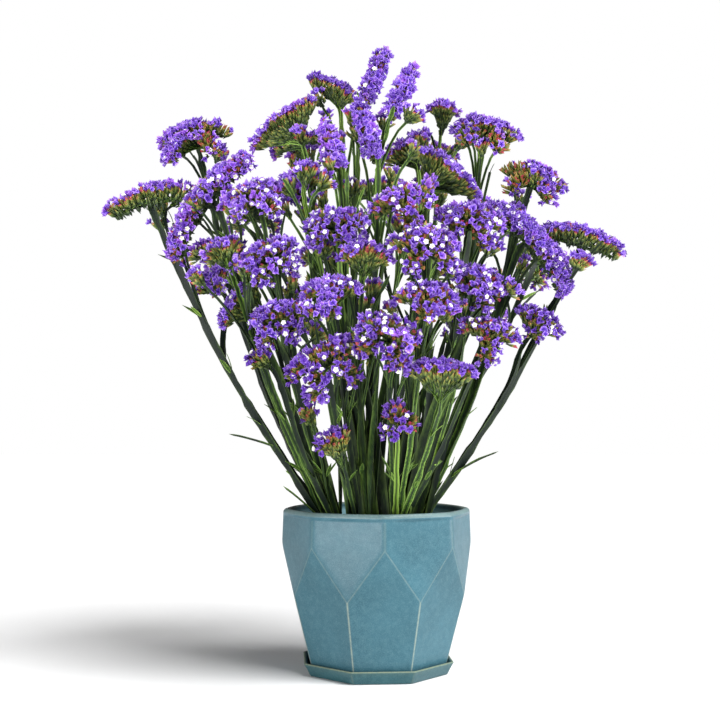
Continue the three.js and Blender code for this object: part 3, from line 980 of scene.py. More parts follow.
def funnel_shape(name: str, mouth: float) -> Shape:
    """A floret's funnel: a narrow tube that flares to a ruffled rim about a hollow heart.

    Args:
        name: the shape's name.
        mouth: how far it opens, 1 for fully.

    Returns:
        The shape.
    """
    lobes = [mouth * share for share in (1.0, 0.84, 0.95, 0.74, 1.06, 0.86, 0.9, 0.76, 1.02, 0.82)]
    ruffles = (-0.14, 0.2, 0.02, 0.24, -0.2, 0.16, -0.04, 0.22, -0.1, 0.18)
    rings = [
        [(0, 0, 0)],
        ring(5, 0.5, (0.3,)),
        ring(10, 0.94, lobes, ruffles),
        ring(5, 0.84, (0.36 * mouth,)),
        [(0, 0, 0.64)],
    ]
    return Shape(name, rings, (0, 0.4, 1, 0.5, 0.2))


def corolla_shape() -> Shape:
    """A small true flower: a tube and five rounded petals."""
    rings = [[(0, 0, 0.5)], ring(5, 0.9, (0.25,)), ring(10, 1.16, (1.0, 0.74), (0.0, 0.08)), [(0, 0, 1.0)]]
    return Shape("corolla_shape", rings, (0, 0.2, 1, 0.1))


def sheath_shape() -> Shape:
    """A pair of keeled bracts about a floret's tube, with pointed lips."""
    rings = [[(0, 0, 0)], ring(4, 0.55, (0.85,)), ring(4, 0.95, (1.0,), (0.05, -0.1)), [(0, 0, 0.74)]]
    return Shape("sheath_shape", rings, (0, 0.5, 1, 0.7))


def scale_shape() -> Shape:
    """A small flat bract that tapers to a point."""
    return Shape("scale_shape", [[(0, 0, 0)], ring(4, 0.4, (1.0, 0.5)), [(0, 0, 1)]], (0, 0.45, 1))


def blade_shape() -> Shape:
    """A narrow pointed leaf, folded a little along its rib, that bends over towards its tip."""
    outline = ((0.0, 0.42), (0.12, 0.72), (0.28, 0.95), (0.45, 1.0), (0.62, 0.9), (0.78, 0.66), (0.9, 0.36))
    bend, ripple, ripples, fold, rib, keel = 0.13, 0.006, 9, 0.0066, 0.012, 0.022
    rings = []
    for t, half in outline:
        spine = -bend * t * t
        wave = ripple * math.sin(ripples * t)
        right = (half / 2, spine + wave + fold * half, t)
        left = (-half / 2, spine - wave + fold * half, t)
        rings.append([right, (0.0, spine + rib, t), left, (0.0, spine - keel, t)])
    rings.append([(0, -bend, 1.0)])
    shape = Shape("blade_shape", rings, tuple(t for t, _ in outline) + (1.0,))
    # margins marked for the painted highlight, the keel under the rib for painted shade
    keep(shape.object.data, "wing_edge", [1.0, 0.6, 1.0, 0.3] * len(outline) + [1.0])
    return shape


class GeometryTree(Nodes):
    """A Geometry Nodes tree with named inputs."""

    def __init__(self, name: str) -> None:
        """Starts a tree that takes a geometry and gives one."""
        super().__init__(bpy.data.node_groups.new(name, "GeometryNodeTree"))
        self.tree.interface.new_socket("Geometry", in_out="INPUT", socket_type="NodeSocketGeometry")
        self.tree.interface.new_socket("Geometry", in_out="OUTPUT", socket_type="NodeSocketGeometry")
        self.inputs: dict[str, str] = {}
        self.given = self.add("NodeGroupInput")

    def input(self, name: str, kind: str, default: float | int | None = None) -> Socket:
        """Adds a named input.

        Args:
            name: its name.
            kind: its socket type, without the prefix.
            default: its value where a modifier sets none.

        Returns:
            The socket to link from.
        """
        made = self.tree.interface.new_socket(name, in_out="INPUT", socket_type="NodeSocket" + kind)
        if default is not None:
            made.default_value = default
        self.inputs[name] = made.identifier
        return self.given.outputs[name]

    def named(self, name: str, kind: str = "FLOAT") -> Socket:
        """A named attribute of the geometry."""
        read = self.add("GeometryNodeInputNamedAttribute", {"data_type": kind}, {"Name": name})
        return read.outputs["Attribute"]

    def instances(self, points: Socket, shape: Socket, size: Socket, selection: Value | bool = True) -> Socket:
        """Sets a shape on points, turned by their attribute.

        Args:
            points: where the shapes go.
            shape: the object that is repeated.
            size: its scale at each point.
            selection: which points get one.

        Returns:
            The instances.
        """
        info = self.add("GeometryNodeObjectInfo", None, {"Object": shape})
        turn = self.add("FunctionNodeEulerToRotation", None, {0: self.named("turn", "FLOAT_VECTOR")})
        values = {
            "Points": points,
            "Selection": selection,
            "Instance": info.outputs["Geometry"],
            "Rotation": turn.outputs[0],
            "Scale": size,
        }
        return self.add("GeometryNodeInstanceOnPoints", None, values).outputs[0]

    def joined(self, *pieces: Socket) -> Socket:
        """Several geometries as one."""
        join = self.add("GeometryNodeJoinGeometry")
        for piece in pieces:
            self.tree.links.new(piece, join.inputs[0])
        return join.outputs[0]

    def real(self, instances: Socket) -> Socket:
        """Instances made into plain mesh."""
        return self.add("GeometryNodeRealizeInstances", None, {"Geometry": instances}).outputs[0]

    def finished(self, geometry: Socket, finish: Socket) -> Socket:
        """Geometry with its material."""
        return self.add("GeometryNodeSetMaterial", None, {"Geometry": geometry, "Material": finish}).outputs[0]

    def crumpled(self, geometry: Socket, amount: Socket, scale: Socket, seed: Socket) -> Socket:
        """Moves points by noise, more the further along its shape each is.

        Args:
            geometry: what is moved.
            amount: how far, in metres.
            scale: the noise's repeats in a metre.
            seed: the noise's fourth coordinate.

        Returns:
            The geometry.
        """
        place = self.add("GeometryNodeInputPosition").outputs[0]
        values = {"Vector": place, "W": seed, "Scale": scale, "Detail": 1.0}
        noise = self.add("ShaderNodeTexNoise", {"noise_dimensions": "4D"}, values).outputs["Color"]
        centred = self.add("ShaderNodeVectorMath", {"operation": "SUBTRACT"}, {0: noise, 1: (0.5, 0.5, 0.5)})
        reach = Value(self, self.named("reach")) * Value(self, amount)
        values = {0: centred.outputs[0], "Scale": reach}
        moved = self.add("ShaderNodeVectorMath", {"operation": "SCALE"}, values)
        values = {"Geometry": geometry, "Offset": moved.outputs[0]}
        return self.add("GeometryNodeSetPosition", None, values).outputs[0]

    def end(self, geometry: Socket) -> "GeometryTree":
        """Ends the tree with a geometry."""
        self.add("NodeGroupOutput", None, {"Geometry": geometry})
        return self

    def run(self, name: str, mesh: Mesh, **values: object) -> Mesh:
        """Runs the tree on a mesh.

        Args:
            name: the new mesh's name.
            mesh: what the tree is given; it is removed.
            values: the tree's inputs, with underscores for spaces.

        Returns:
            The result as a plain mesh.
        """
        carrier = placed(name + "_carrier", mesh)
        modifier = carrier.modifiers.new("grow", "NODES")
        modifier.node_group = self.tree
        for key, value in values.items():
            modifier[self.inputs[key.replace("_", " ")]] = value
        graph = bpy.context.evaluated_depsgraph_get()
        made = bpy.data.meshes.new_from_object(
            carrier.evaluated_get(graph), preserve_all_data_layers=True, depsgraph=graph
        )
        made.name = name
        bpy.data.objects.remove(carrier)
        bpy.data.meshes.remove(mesh)
        for key in ("turn", "size", "flower", "closing", "twist", "wing"):
            if key in made.attributes:
                made.attributes.remove(made.attributes[key])
        return made


def floret_tree() -> GeometryTree:
    """The tree that sets funnels on a head's points, and corollas in those that flower."""
    tree = GeometryTree("florets")
    points = tree.given.outputs["Geometry"]
    funnel = tree.input("Funnel", "Object")
    half_open = tree.input("Half open", "Object")
    corolla = tree.input("Corolla", "Object")
    funnel_finish = tree.input("Funnel finish", "Material")
    corolla_finish = tree.input("Corolla finish", "Material")
    corolla_length = tree.input("Corolla length", "Float", 2.6)
    amount = tree.input("Crumple", "Float", 0.0085)
    scale = tree.input("Crumple scale", "Float", 420.0)
    seed = tree.input("Seed", "Float", 1.0)
    size = tree.named("size", "FLOAT_VECTOR")
    closing = Value(tree, tree.named("closing"))
    opened = tree.instances(points, funnel, size, 1.0 - closing)
    closed = tree.instances(points, half_open, size, closing)
    flower = Value(tree, tree.named("flower")) * MM
    factors = {0: flower, 1: flower, 2: flower * Value(tree, corolla_length)}
    wide = tree.add("ShaderNodeCombineXYZ", None, factors).outputs[0]
    corollas = tree.instances(points, corolla, wide, flower.math("GREATER_THAN", flower, 0.0))
    funnels = tree.crumpled(tree.real(tree.joined(opened, closed)), amount, scale, seed)
    whites = tree.finished(tree.real(corollas), corolla_finish)
    return tree.end(tree.joined(whites, tree.finished(funnels, funnel_finish)))


def scatter_tree() -> GeometryTree:
    """The tree that sets one shape, such as a bract or a leaf, on every point."""
    tree = GeometryTree("scatter")
    points = tree.given.outputs["Geometry"]
    shape = tree.input("Shape", "Object")
    finish = tree.input("Finish", "Material")
    amount = tree.input("Crumple", "Float", 0.002)
    scale = tree.input("Crumple scale", "Float", 260.0)
    seed = tree.input("Seed", "Float", 1.0)
    shapes = tree.real(tree.instances(points, shape, tree.named("size", "FLOAT_VECTOR")))
    return tree.end(tree.finished(tree.crumpled(shapes, amount, scale, seed), finish))


def stem_tree() -> GeometryTree:
    """The tree that sweeps a three-winged section along every stem's line."""
    tree = GeometryTree("stems")
    finish = tree.input("Finish", "Material")
    core = tree.input("Core share", "Float", 0.34)
    line = tree.add("GeometryNodeMeshToCurve", None, {"Mesh": tree.given.outputs["Geometry"]}).outputs[0]
    line = tree.add("GeometryNodeSetCurveTilt", None, {"Curve": line, "Tilt": tree.named("twist")}).outputs[0]
    star = tree.add("GeometryNodeCurveStar", None, {"Points": 3, "Inner Radius": core, "Outer Radius": 1.0})
    # the wing tips are marked for the painted highlight along the wings' edges, and their roots for painted
    # shade
    values = {"Geometry": star.outputs[0], "Name": "wing_edge", "Value": star.outputs[1]}
    section = tree.add("GeometryNodeStoreNamedAttribute", {"data_type": "FLOAT", "domain": "POINT"}, values)
    width = tree.named("wing")
    values = {"Curve": line, "Profile Curve": section.outputs[0], "Scale": width, "Fill Caps": True}
    swept = tree.add("GeometryNodeCurveToMesh", None, values).outputs[0]
    return tree.end(tree.finished(tree.real(swept), finish))


def crumb_tree() -> GeometryTree:
    """The tree that strews crumbs over the soil."""
    tree = GeometryTree("crumbs")
    finish = tree.input("Finish", "Material")
    density = tree.input("Density", "Float", 60000.0)
    smallest = tree.input("Smallest", "Float", 0.0008)
    largest = tree.input("Largest", "Float", 0.0024)
    seed = tree.input("Seed", "Int", 4)
    values = {"Mesh": tree.given.outputs["Geometry"], "Density": density, "Seed": seed}
    points = tree.add("GeometryNodeDistributePointsOnFaces", None, values)
    crumb = tree.add("GeometryNodeMeshIcoSphere", None, {"Radius": 1.0, "Subdivisions": 1}).outputs[0]
    values = {"Min_001": smallest, "Max_001": largest, "Seed": seed}
    size = tree.add("FunctionNodeRandomValue", {"data_type": "FLOAT"}, values)
    values = {"Min": (0.6, 0.6, 0.4), "Max": (1.4, 1.4, 1.0), "Seed": seed}
    form = tree.add("FunctionNodeRandomValue", {"data_type": "FLOAT_VECTOR"}, values)
    values = {0: form.outputs[0], "Scale": size.outputs[1]}
    scaled = tree.add("ShaderNodeVectorMath", {"operation": "SCALE"}, values).outputs[0]
    values = {"Points": points.outputs[0], "Instance": crumb, "Scale": scaled}
    values["Rotation"] = points.outputs["Rotation"]
    instances = tree.add("GeometryNodeInstanceOnPoints", None, values).outputs[0]
    return tree.end(tree.finished(tree.real(instances), finish))


def placed(name: str, data: bpy.types.ID) -> bpy.types.Object:
    """Makes an object in the scene."""
    made = bpy.data.objects.new(name, data)
    bpy.context.scene.collection.objects.link(made)
    return made


def keep(mesh: Mesh, name: str, values: Sequence[float] | np.ndarray) -> None:
    """Keeps a number on every point of a mesh, for shaders and trees to read."""
    kept = mesh.attributes.new(name, "FLOAT", "POINT")
    kept.data.foreach_set("value", np.array(values, dtype=np.float32))


def millimetre_mesh(name: str, points: Iterable[Point], faces: Sequence[tuple[int, ...]]) -> Mesh:
    """Makes a mesh from points in millimetres."""
    mesh = bpy.data.meshes.new(name)
    mesh.from_pydata([tuple(c * MM for c in point) for point in points], [], faces)
    return mesh


def declare(name: str, mesh: Mesh, replaced: Iterable[str] = ()) -> None:
    """Makes a finished piece, sets it on the body and hides the CAD nodes that it stands for.

    Args:
        name: the piece's name.
        mesh: its mesh, in metres and in place.
        replaced: the CAD nodes that it stands for.
    """
    piece = placed(name, mesh)
    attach(piece, BODY)
    if replaced:
        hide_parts(*replaced)
    LOG.info("%s: %d faces", name, len(mesh.polygons))


@dataclass(frozen=True)
class Mood:
    """How a head's florets stand, and where they are kept.

    The rows are the turns of their rows about a comb, and the body is how far the green under them reaches.
    Closed and flowering are shares of the florets, the scales are loose bracts in a tuft, the sink is how much
    lower the florets sit, and the middle and the way to the spent side tell which tufts are past flowering.
    """

    funnels: Scatter
    rows: Numbers
    body: float
    closed: float
    flowering: float
    tint: float
    scales: int = 2
    sink: float = 0.0
    slim: float = 1.0
    middle: Vector = UP
    spent: Vector = Vector()


@dataclass
class StemLines:
    """The lines of a spray's stems, each point with its wings' width, its twist and its tint."""

    points: list[Vector] = field(default_factory=list)
    edges: list[tuple[int, int]] = field(default_factory=list)
    wings: list[float] = field(default_factory=list)
    twists: list[float] = field(default_factory=list)
    tints: list[float] = field(default_factory=list)

    def add(
        self, places: Sequence[Vector], wings: Sequence[float], twists: Sequence[float], tints: Sequence[float]
    ) -> None:
        """Adds a line.

        Args:
            places: its points.
            wings: the wings' width at each.
            twists: the section's turn at each.
            tints: a number for the colour at each.
        """
        first = len(self.points)
        self.points += places
        self.edges += [(first + i, first + i + 1) for i in range(len(places) - 1)]
        self.wings += wings
        self.twists += twists
        self.tints += tints

    def twig(self, places: Sequence[Vector], wing: float, tint: float) -> None:
        """Adds a thin line of one width that twists a little."""
        count, twist = len(places), 0.3
        self.add(places, [wing] * count, [twist * i for i in range(count)], [tint] * count)

    def mesh(self, name: str) -> Mesh:
        """Makes the mesh of edges that Geometry Nodes read.

        Args:
            name: the mesh's name.

        Returns:
            The mesh.
        """
        mesh = bpy.data.meshes.new(name)
        mesh.from_pydata([place * MM for place in self.points], self.edges, [])
        keep(mesh, "wing", [wing * MM for wing in self.wings])
        keep(mesh, "twist", self.twists)
        keep(mesh, "tint", self.tints)
        return mesh


@dataclass(frozen=True)
class StemSizes:
    """Sizes of the winged stems; pairs are for the foot and the neck."""

    start: float = 118.0
    crown_radius: float = 8.5
    bow: float = 0.03
    buried: float = 7.0
    step: float = 5.0
    least_steps: int = 8
    wings: Pair = (3.2, 2.3)
    fork_wings: Pair = (2.5, 1.8)
    node_gap: float = 50.0
    above_node: float = 0.8
    swell: float = 0.34
    wing_jitter: float = 0.06
    twist: float = 1.4
    sway: float = 0.35
    # each stem's share of the painted light is drawn from these: mostly dull, rarely bright
    dullest: float = 0.06
    brighter_by: float = 1.6
    rarely_bright: float = 3.0
    # heights over which the stems of the listed heads are painted lit
    bright_from: float = 250.0
    bright_over: float = 80.0
    sharp_angle: float = 40.0


@dataclass(frozen=True)
class PaintedStemLight:
    """How brightly the stems' green is painted lit: painted light low in the middle of the front and near the
    top, painted shade under the front heads, at the back and to the sides.
    """

    front: float = 0.45
    front_fade: float = 110.0
    back: float = 0.1
    shade: float = 0.85
    shade_height: float = 270.0
    shade_spread: float = 60.0
    risen_from: float = 340.0
    risen_over: float = 100.0
    top: float = 0.85
    side_fade: float = 110.0

    def at(self, place: Vector, share: float) -> float:
        """The painted light of a stem at a place, as a tint.

        Args:
            place: the place.
            share: how bright this stem is among those low in front.

        Returns:
            The tint, mostly from 0 to 1.
        """
        ahead = clamped(self.front - place.y / self.front_fade)
        shaded = self.shade * line_of(place.z - self.shade_height, self.shade_spread)
        low = share * (self.back + (1 - self.back) * ahead * (1 - shaded))
        risen = min(clamped((place.z - self.risen_from) / self.risen_over), self.top)
        return max(low, risen) * line_of(place.x, self.side_fade)


@dataclass(frozen=True)
class BranchSizes:
    """Sizes of the branches that bear a head's tufts, and of the spine and struts that bear a long fan's."""

    wing: float = 1.9
    wings: Numbers = (1.52, 1.9, 2.28)
    twists: Numbers = (0.0, 0.4, 0.8)
    fork_of: int = 3
    fork_at: Pair = (0.4, 0.6)
    top_at: float = 0.3
    spine_depth: float = 6.6
    spine_share: float = 0.96
    spine_steps: int = 10
    spine_wing: float = 2.09
    spine_tint: float = 0.5
    struts: Numbers = (-0.3, -0.15, 0.15, 0.3)
    strut_stray: Pair = (0.9, 1.2)
    strut_wing: float = 1.52


@dataclass(frozen=True)
class TwigSizes:
    """Sizes of the thin side branches, and of the sprigs of florets at most of their ends."""

    sprigs: int = 3
    bare: int = 2
    start: Pair = (0.9, 1.6)
    span: Pair = (0.45, 0.9)
    highest: float = 2.4
    spread: Pair = (10.0, 26.0)
    steps: int = 5
    curl: float = 1.5
    wing: float = 1.4
    tint: Pair = (0.4, 1.0)
    lowest_end: float = 222.0
    higher_aside: float = 0.65
    leaf_overlap: float = 3.0
    sprig_length: Pair = (8.0, 15.0)
    sprig_rise: float = 9.0
    sprig_arch: float = 80.0
    sprig_depth: float = 8.0
    sprig_body: float = 0.6
    sprig_tint: Pair = (0.2, 0.6)
    sprig_closed: float = 2.0


@dataclass(frozen=True)
class CombSizes:
    """How tufts stand along a comb, and past the end of a spike."""

    gap: float = 5.7
    radius: float = 5.6
    rise: float = 1.8
    rise_jitter: float = 1.3
    slide_jitter: float = 0.2
    bract_root: float = 5.5
    fanned_from: float = 0.6
    end_splay: float = 1.8
    end_push: float = 2.0
    spike_tips: Numbers = (0.0, 4.5, 8.0)
    tip_drop: float = 1.0
    tip_root: float = 4.0


@dataclass(frozen=True)
class TuftSizes:
    """Sizes of a tuft of florets, and of the bracts about and between them; pairs are drawn from."""

    radius: float = 2.4
    florets: tuple[int, ...] = (3, 3, 4)
    stray: Pair = (0.8, 1.2)
    rise: Pair = (-0.7, 0.8)
    splay: float = 0.5
    sway: float = 0.24
    tint_jitter: float = 0.22
    floret_tint_jitter: float = 0.4
    funnel_radius: Pair = (2.1, 3.6)
    funnel_length: Pair = (4.9, 6.8)
    half_open: float = 0.3
    corolla_radius: Pair = (1.6, 2.4)
    bract_radius: Pair = (1.1, 1.5)
    sheath_root: float = 1.2
    sheath_tint: Pair = (0.2, 1.0)
    sheath_closed: float = 0.85
    sheath_open: Pair = (0.3, 0.6)
    scale_root: float = 1.8
    scale_tint: Pair = (0.4, 1.0)
    scale_reach: Pair = (0.5, 1.7)
    scale_rise: Pair = (0.5, 4.6)
    spent_from: float = 7.0
    spent_closed: float = 0.85
    spent_scales: int = 2


@dataclass(frozen=True)
class BodySizes:
    """Sizes of the green body of bracts under a comb; pairs are drawn from."""

    spined_reach: float = 10.5
    spined_share: Pair = (0.75, 1.15)
    share: Pair = (0.85, 1.1)
    end_share: float = 0.8
    core_radius: float = 3.0
    core_rise: float = 1.0
    # the core bract's tint, low for painted shade
    core_tint: float = 0.15
    half: float = 4.6
    foot_half: float = 1.4
    flatness: float = 0.4
    scales_per_mm: float = 1.5
    scale_radius: Pair = (1.2, 2.0)
    scale_length: Pair = (5.5, 8.5)
    scale_splay: float = 0.22
    scale_slide: float = 0.55
    scale_lift: float = 1.5
    # bracts' tints fall from the top tint towards the joint: painted shade under the comb
    top_tint: float = 0.95
    tint_jitter: float = 0.2


@dataclass(frozen=True)
class Flowering:
    """How far heads have opened, how many corollas they show, and how bright they are, with lower heads
    painted darker as a painted shade.
    """

    closed: Numbers = (0.06, 0.16, 0.28)
    front_closed: float = 0.1
    bud_closed: float = 0.55
    bud_sink: float = 1.2
    corollas: float = 0.12
    front_corollas: float = 0.34
    front: float = -60.0
    front_facing: float = -0.5
    front_scales: int = 4
    scales: int = 1
    tint: Pair = (0.3, 0.66)
    painted_shade_below: float = 380.0
    painted_shade_by: float = 0.0044


@dataclass(frozen=True)
class LeafSizes:
    """Sizes of the leaves: small ones at the stems' nodes, long ones low on stems, and ones about the feet
    painted dark, a painted shade.

    Widths are shares of the length, but for the long ones', and pairs are drawn from.
    """

    crumple: float = 0.004
    crumple_scale: float = 40.0
    roll: float = 1.1
    at_node: tuple[int, ...] = (1, 2, 2)
    small_length: Pair = (10.0, 20.0)
    small_width: float = 0.2
    small_splay: Pair = (0.3, 0.8)
    small_root: float = 1.2
    small_tint: Pair = (0.3, 1.0)
    long_width: float = 4.0
    long_tint: Pair = (0.0, 0.3)
    foot_count: int = 14
    foot_fade: float = 22.0
    foot_length: Pair = (90.0, 195.0)
    foot_width: float = 0.03
    # low tints paint the foot leaves dark, a painted shade low in the plant
    foot_tint: Pair = (0.0, 0.22)
    foot_splay: Pair = (0.0, 0.15)
    foot_lean: Pair = (0.1, 0.5)
    foot_leaning: float = 60.0
    foot_root: Pair = (3.0, 13.0)
    foot_buried: float = 3.5


@dataclass(frozen=True)
class PlantSizes:
    """Sizes that all sprays share."""

    stem: StemSizes = StemSizes()
    branch: BranchSizes = BranchSizes()
    twig: TwigSizes = TwigSizes()
    comb: CombSizes = CombSizes()
    tuft: TuftSizes = TuftSizes()
    body: BodySizes = BodySizes()
    leaf: LeafSizes = LeafSizes()
    flowering: Flowering = Flowering()
    painted_stem_light: PaintedStemLight = PaintedStemLight()


class PlantKit:
    """What all sprays share: sizes, repeated shapes, trees and finishes."""

    def __init__(self) -> None:
        """Makes the shapes, trees and finishes."""
        self.sizes = PlantSizes()
        self.funnel = funnel_shape("open_funnel", 1.0)
        self.half_open = funnel_shape("half_open_funnel", 0.62)
        self.corolla = corolla_shape()
        self.sheath = sheath_shape()
        self.scale = scale_shape()
        self.blade = blade_shape()
        self.florets = floret_tree()
        self.scatter = scatter_tree()
        self.stems = stem_tree()
        self.funnel_finish = FunnelFinish().material()
        self.corolla_finish = CorollaFinish().material()
        self.bract_finish = BractFinish().material()
        self.leaf_finish = LeafFinish().material()

    def discard_shapes(self) -> None:
        """Takes the repeated shapes out of the scene."""
        for shape in (self.funnel, self.half_open, self.corolla, self.sheath, self.scale, self.blade):
            shape.discard()


class Spray:
    """One clump of stems from the soil, with its leaves, bracts and flower heads."""

    def __init__(self, name: str, seed: int, kit: PlantKit) -> None:
        """Reads the spray's heads and lays out its stems.

        Args:
            name: the spray's name in the table.
            seed: what its random draws start from.
            kit: the shapes, trees, sizes and finishes that all sprays share.
        """
        foot, *rows = SPRAYS[name]
        self.name = name
        self.kit = kit
        self.sizes = kit.sizes
        self.seed = seed
        self.draw = random.Random(seed)
        self.foot = Vector((*foot, self.sizes.stem.start))
        self.heads = [Head(row) for row in rows]
        self.paths: dict[str, StemPath] = {}
        for head in self.heads:
            self.paths[head.name] = self._path(head)
        self.sheaths = Scatter()
        self.scales = Scatter()
        self.blades = Scatter()
        self.lines = StemLines()

    def _jitter(self, size: float) -> float:
        """A random number, at most this far from 0."""
        return self.draw.uniform(-size, size)

    def _angle(self) -> float:
        """A random angle."""
        return self.draw.uniform(0, math.tau)

    def _path(self, head: Head) -> StemPath:
        """The line of a head's stem.

        Args:
            head: the head.

        Returns:
            The line.
        """
        sizes = self.sizes.stem
        parent = self.paths.get(head.parent)
        start = parent.at(parent.NECK * head.fork_at) if parent else self.foot
        straight = head.neck - start
        if not parent:
            start = start + Vector((straight.x, straight.y, 0)).normalized() * sizes.crown_radius / 2
        middle = (start + head.neck) / 2
        middle += Vector((middle.x, middle.y, 0)).normalized() * straight.length * sizes.bow
        return StemPath([start, middle, head.neck, head.seat])

    def build(self) -> None:
        """Makes the spray's pieces."""
        sprigs = Scatter()
        for order, head in enumerate(self.heads):
            path = self.paths[head.name]
            mood = self._mood(head)
            for comb in head.combs:
                self._comb(comb, path.at(head.kind.value.joint), mood)
            if head.kind is Kind.SPIKE:
                self._tip(head.combs[0], mood)
            replaced = "stems_" + self.name if head.kind is Kind.BUD else "bloom_" + head.name
            self._grow_florets("florets_" + head.name, mood.funnels, self.seed + order, [replaced])
            self._stem(head, path)
            self._twigs(path, sprigs)
            self._leaflets(path)
        self._grow_florets("sprigs_" + self.name, sprigs, self.seed)
        self._long_leaves()
        self._foot_leaves()
        self._grow_green()

    def _mood(self, head: Head) -> Mood:
        """How a head's florets stand.

        Args:
            head: the head.

        Returns:
            The mood.
        """
        sizes, draw = self.sizes.flowering, self.draw
        form = head.kind.value
        bud = head.kind is Kind.BUD
        ahead = head.centre.y < sizes.front
        closed = draw.choice(sizes.closed) + ahead * sizes.front_closed
        # lower heads are painted darker, a painted shade under the higher ones
        darker = max(0.0, sizes.painted_shade_below - head.centre.z) * sizes.painted_shade_by
        return Mood(
            funnels=Scatter(),
            rows=form.rows,
            body=form.body,
            closed=sizes.bud_closed if bud else closed,
            flowering=sizes.front_corollas if head.axis.y < sizes.front_facing else sizes.corollas,
            tint=draw.uniform(*sizes.tint) - darker,
            scales=sizes.front_scales if ahead else sizes.scales,
            sink=sizes.bud_sink if bud else 0.0,
            slim=form.slim,
            middle=head.centre,
            spent=SPENT.get(head.name, Vector()),
        )

    def _grow_florets(self, name: str, funnels: Scatter, seed: int, replaced: Iterable[str] = ()) -> None:
        """Makes a piece of florets.

        Args:
            name: its name.
            funnels: where its florets are.
            seed: what its crumpling starts from.
            replaced: the CAD nodes that it stands for.
        """
        kit = self.kit
        mesh = kit.florets.run(
            name,
            funnels.mesh("floret_points"),
            Funnel=kit.funnel.object,
            Half_open=kit.half_open.object,
            Corolla=kit.corolla.object,
            Funnel_finish=kit.funnel_finish,
            Corolla_finish=kit.corolla_finish,
            Seed=float(seed),
        )
        declare(name, mesh, replaced)

    def _grow_green(self) -> None:
        """Makes the spray's bracts, stems and leaves."""
        kit, sizes, seed = self.kit, self.sizes, float(self.seed)
        stems = ["stems_" + self.name]
        blooms = ["bloom_" + head.name for head in self.heads if head.kind is not Kind.BUD]
        for kind, scatter, shape, replaced in (
            ("bracts_", self.sheaths, kit.sheath, blooms),
            ("scales_", self.scales, kit.scale, stems),
        ):
            name, points = kind + self.name, scatter.mesh("bract_points")
            mesh = kit.scatter.run(name, points, Shape=shape.object, Finish=kit.bract_finish, Seed=seed)
            declare(name, mesh, replaced)
        stalks = kit.stems.run("stalks_" + self.name, self.lines.mesh("stem_lines"), Finish=kit.leaf_finish)
        leaves = kit.scatter.run(
            "leaves_" + self.name,
            self.blades.mesh("leaf_points"),
            Shape=kit.blade.object,
            Finish=kit.leaf_finish,
            Crumple=sizes.leaf.crumple,
            Crumple_scale=sizes.leaf.crumple_scale,
            Seed=seed,
        )
        for mesh in (stalks, leaves):
            mesh.polygons.foreach_set("use_smooth", [True] * len(mesh.polygons))
            mesh.set_sharp_from_angle(angle=math.radians(sizes.stem.sharp_angle))
            declare(mesh.name, mesh, stems)

    def _comb(self, comb: Comb, joint: Vector, mood: Mood) -> None:
        """Sets the tufts of florets along one comb, with their bracts and branches.

        Args:
            comb: the comb.
            joint: where its branches leave the stem.
            mood: how its florets stand.
        """
        sizes = self.sizes.comb
        count = max(1, round((comb.last - comb.first) / sizes.gap))
        step = (comb.last - comb.first) / count
        feet = []
        for i in range(count):
            s = comb.first + step * (i + 0.5)
            here = comb.at(s)
            feet.append((s, self._body(comb, s, step, joint, mood)))
            fanned = max(0.0, comb.outward(s) - sizes.fanned_from) * sizes.end_splay
            ending = here.along * math.copysign(fanned, s)
            root = here.offset(0, -sizes.bract_root)
            for row in mood.rows:
                turn = math.radians(row)
                out = here.up * math.cos(turn) + here.side * math.sin(turn)
                seat = here.place + (out - here.up) * sizes.radius * mood.slim
                seat += out * (sizes.rise - mood.sink + self._jitter(sizes.rise_jitter))
                seat += here.along * self._jitter(sizes.slide_jitter) * step + ending * sizes.end_push
                self._tuft(seat, (out + ending).normalized(), here.along, root, mood)
        self._branches(comb, joint, feet)

    def _tip(self, comb: Comb, mood: Mood) -> None:
        """Sets the tufts past the end of a spike.

        Args:
            comb: the spike's comb.
            mood: how its florets stand.
        """
        sizes = self.sizes.comb
        end = comb.at(comb.last)
        for beyond in sizes.spike_tips:
            seat = end.offset(0, -sizes.tip_drop) + end.along * beyond
            self._tuft(seat, end.along, end.side, seat - end.along * sizes.tip_root, mood)

    def _body(self, comb: Comb, s: float, step: float, joint: Vector, mood: Mood) -> Vector:
        """Sets the bracts under one place of a comb, closer together towards the joint and painted darker
        there, a painted shade under the florets.

        Args:
            comb: the comb.
            s: the place.
            step: how much of the comb is filled.
            joint: where its branches leave the stem.
            mood: how far the bracts reach.

        Returns:
            Where the bracts end.
        """
        sizes, draw = self.sizes.body, self.draw
        half = comb.outward(s) / 2
        if comb.spined:
            reach = sizes.spined_reach * draw.uniform(*sizes.spined_share)
        else:
            reach = mood.body * draw.uniform(*sizes.share)

        def foot_of(place: Station) -> Vector:
            """Where the bracts under a place of the comb end."""
            if comb.spined:
                return place.offset(0, -reach * (1 - half))
            return place.place.lerp(joint, reach * (1 - half * sizes.end_share))

        middle = comb.at(s)
        foot = foot_of(middle)
        # the core bract's low tint paints it dark, a painted shade in the middle of the body
        self._leaf(self.sheaths, foot, middle.offset(0, sizes.core_rise), sizes.core_radius, sizes.core_tint)
        for _ in range(round((middle.place - foot).length * sizes.scales_per_mm)):
            here = comb.at(s + self._jitter(sizes.scale_slide) * step)
            foot_here = foot_of(here)
            down = draw.random()
            way = (here.place - foot_here).normalized()
            wide = sizes.half + (sizes.foot_half - sizes.half) * down
            around = self._angle()
            out = here.side * math.cos(around) + here.along * (sizes.flatness * math.sin(around))
            tip = here.place.lerp(foot_here, down) + out * wide + way * sizes.scale_lift
            root = tip - (way + out * sizes.scale_splay) * draw.uniform(*sizes.scale_length)
            width = draw.uniform(*sizes.scale_radius)
